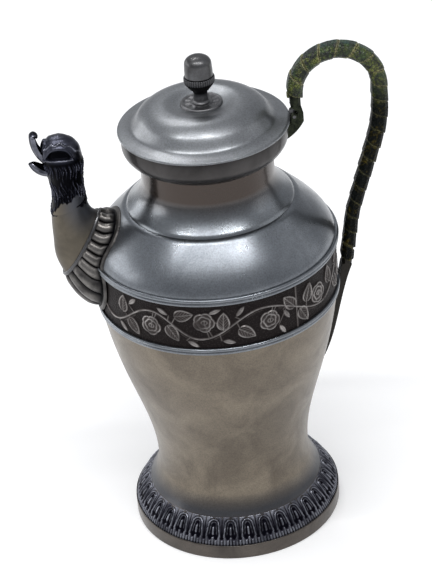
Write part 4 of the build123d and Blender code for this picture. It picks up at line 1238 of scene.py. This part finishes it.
def add_binding():
    """One flat leather strip wound up the handle, one edge of each turn a little raised."""
    turns, per_side = 20, 5
    points, at = handle_line()
    pitch = at[-1] / (turns + 1)
    corners = core_corners()
    count = turns * len(corners) * per_side

    def place_at(distance):
        return np.array([np.interp(distance, at, points[:, k]) for k in (0, 1)])

    strip, edges, loops, sides = [], [], [], []
    for step in range(count + 1):
        corner, local = divmod(step, per_side)
        share = local / per_side
        flat = min(max((share - 0.2) / 0.6, 0), 1)
        here, following = (np.array(corners[k % len(corners)]) for k in (corner, corner + 1))
        core_out, core_across = here + (following - here) * flat
        facing = radians(22.5 + 45 * (corner + share + (0.35 - 0.7 * share)))
        middle = pitch * (0.5 + step / (len(corners) * per_side))
        wander = 0.16 * sin(step * 0.083) + 0.1 * sin(step * 0.217 + 1)
        taper = min(1.0, (step + 6) / 18, (count - step + 6) / 18)
        width = (pitch - STRIP_GAP) * taper
        loft = 0.34 + 0.16 * sin(step * 0.131 + 2)
        thick = 0.6 + 0.8 * float(smooth(place_at(middle)[1], 200, 262))
        for along, up in STRIP_SECTION:
            spot = middle + along * width + wander * (1 if along > 0 else 0.5)
            x, z = place_at(spot)
            run = place_at(spot + 0.4) - place_at(spot - 0.4)
            run /= max(np.linalg.norm(run), 1e-6)
            lift = STRIP_LIFT + loft * (along + 0.5) ** 1.3 * taper + thick * up
            out = core_out + lift * cos(facing)
            strip.append((x - run[1] * out, core_across + lift * sin(facing), z + run[0] * out))
            edges.append(smooth(abs(along), 0.4, 0.47) * up)
            loops.append(smooth(z, 262, 292) if x > LEG_X + LOOP_RADIUS else 1.0)
            sides.append(smooth(abs(sin(facing)), 0.45, 0.75))
    make_piece("leather_strip", strip, tube_faces(count + 1, len(STRIP_SECTION)), strip_leather, "jug",
               "handle_binding", {"edge": edges, "loop": loops, "side": sides}, sharp=55)


def dress_cad_pieces():
    """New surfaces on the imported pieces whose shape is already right."""
    finishes = {
        "base_plate": foot_pewter,
        "strainer": bright_pewter,
        "lid_bezel": bright_pewter,
        "lid_knuckle": dark_pewter,
        "hinge_pin": dark_pewter,
        "fixing_nut": dark_pewter,
        "handle": tail_metal,
    }
    for node, material in finishes.items():
        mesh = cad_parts[node].data
        for index in range(len(mesh.materials)):
            mesh.materials[index] = material
        if not mesh.materials:
            mesh.materials.append(material)


# Studio


def add_room():
    """Grey room light, and a background that the camera alone sees as white."""
    world = bpy.data.worlds.new("studio")
    bpy.context.scene.world = world
    world.use_nodes = True
    tree = world.node_tree
    room = feed(tree, tree.nodes["Background"], Color=(0.82, 0.84, 0.88), Strength=0.55)
    white = feed(tree, tree.nodes.new("ShaderNodeBackground"), Color=(1, 1, 1), Strength=1.0)
    path = tree.nodes.new("ShaderNodeLightPath")
    mixer = feed(tree, tree.nodes.new("ShaderNodeMixShader"), Fac=path.outputs["Is Camera Ray"])
    tree.links.new(room.outputs["Background"], mixer.inputs[1])
    tree.links.new(white.outputs["Background"], mixer.inputs[2])
    tree.links.new(mixer.outputs["Shader"], tree.nodes["World Output"].inputs["Surface"])


def add_floor():
    """Wide pale floor that glows a little, so that it runs into the background."""
    material = bpy.data.materials.new("floor")
    material.use_nodes = True
    tree = material.node_tree
    feed(tree, tree.nodes["Principled BSDF"], Base_Color=(0.92, 0.92, 0.92), Roughness=0.75,
         Emission_Color=(1, 1, 1), Emission_Strength=0.14)
    half = 8
    mesh = bpy.data.meshes.new("floor")
    mesh.from_pydata([(-half, -half, 0), (half, -half, 0), (half, half, 0), (-half, half, 0)], [],
                     [(0, 1, 2, 3)])
    mesh.materials.append(material)
    floor = bpy.data.objects.new("floor", mesh)
    bpy.context.scene.collection.objects.link(floor)


def add_lights():
    """A window at the left, two rows of ceiling tubes and a faint wall at the right."""
    lights = [
        ("left_wall", (-1.8, 0.7, 0.7), (0, 0, 0.15), (2.2, 0.8), 12),
        ("front_tube", (-0.1, -0.58, 1.92), (0, 0, 0.2), (2.0, 0.06), 22),
        ("second_front_tube", (-0.1, -0.9, 1.8), (0, 0, 0.2), (1.6, 0.04), 3),
        ("back_tube", (-0.3, 1.1, 1.9), (0, 0, 0.25), (0.9, 0.04), 5),
        ("far_back_tube", (-0.3, 1.5, 1.8), (0, 0, 0.25), (0.6, 0.04), 3),
        ("right_wall", (1.8, -0.2, 0.9), (0, 0, 0.15), (1.2, 1.2), 2),
    ]
    for name, place, aim, size, watts in lights:
        data = bpy.data.lights.new(name, "AREA")
        data.shape = "RECTANGLE"
        data.size, data.size_y = size
        data.energy = watts
        light = bpy.data.objects.new(name, data)
        light.location = place
        light.rotation_euler = (Vector(aim) - Vector(place)).to_track_quat("-Z", "Y").to_euler()
        bpy.context.scene.collection.objects.link(light)


add_camera()
add_room()
add_floor()
add_lights()
dress_cad_pieces()
add_foot()
add_leaf_tip_border()
add_body()
add_rose_band()
add_mouldings()
add_lid()
add_rosette()
add_finial()
add_socket()
add_socket_rim()
add_breast()
add_head()
add_bills()
add_binding()

bpy.context.scene.view_settings.view_transform = "Standard"
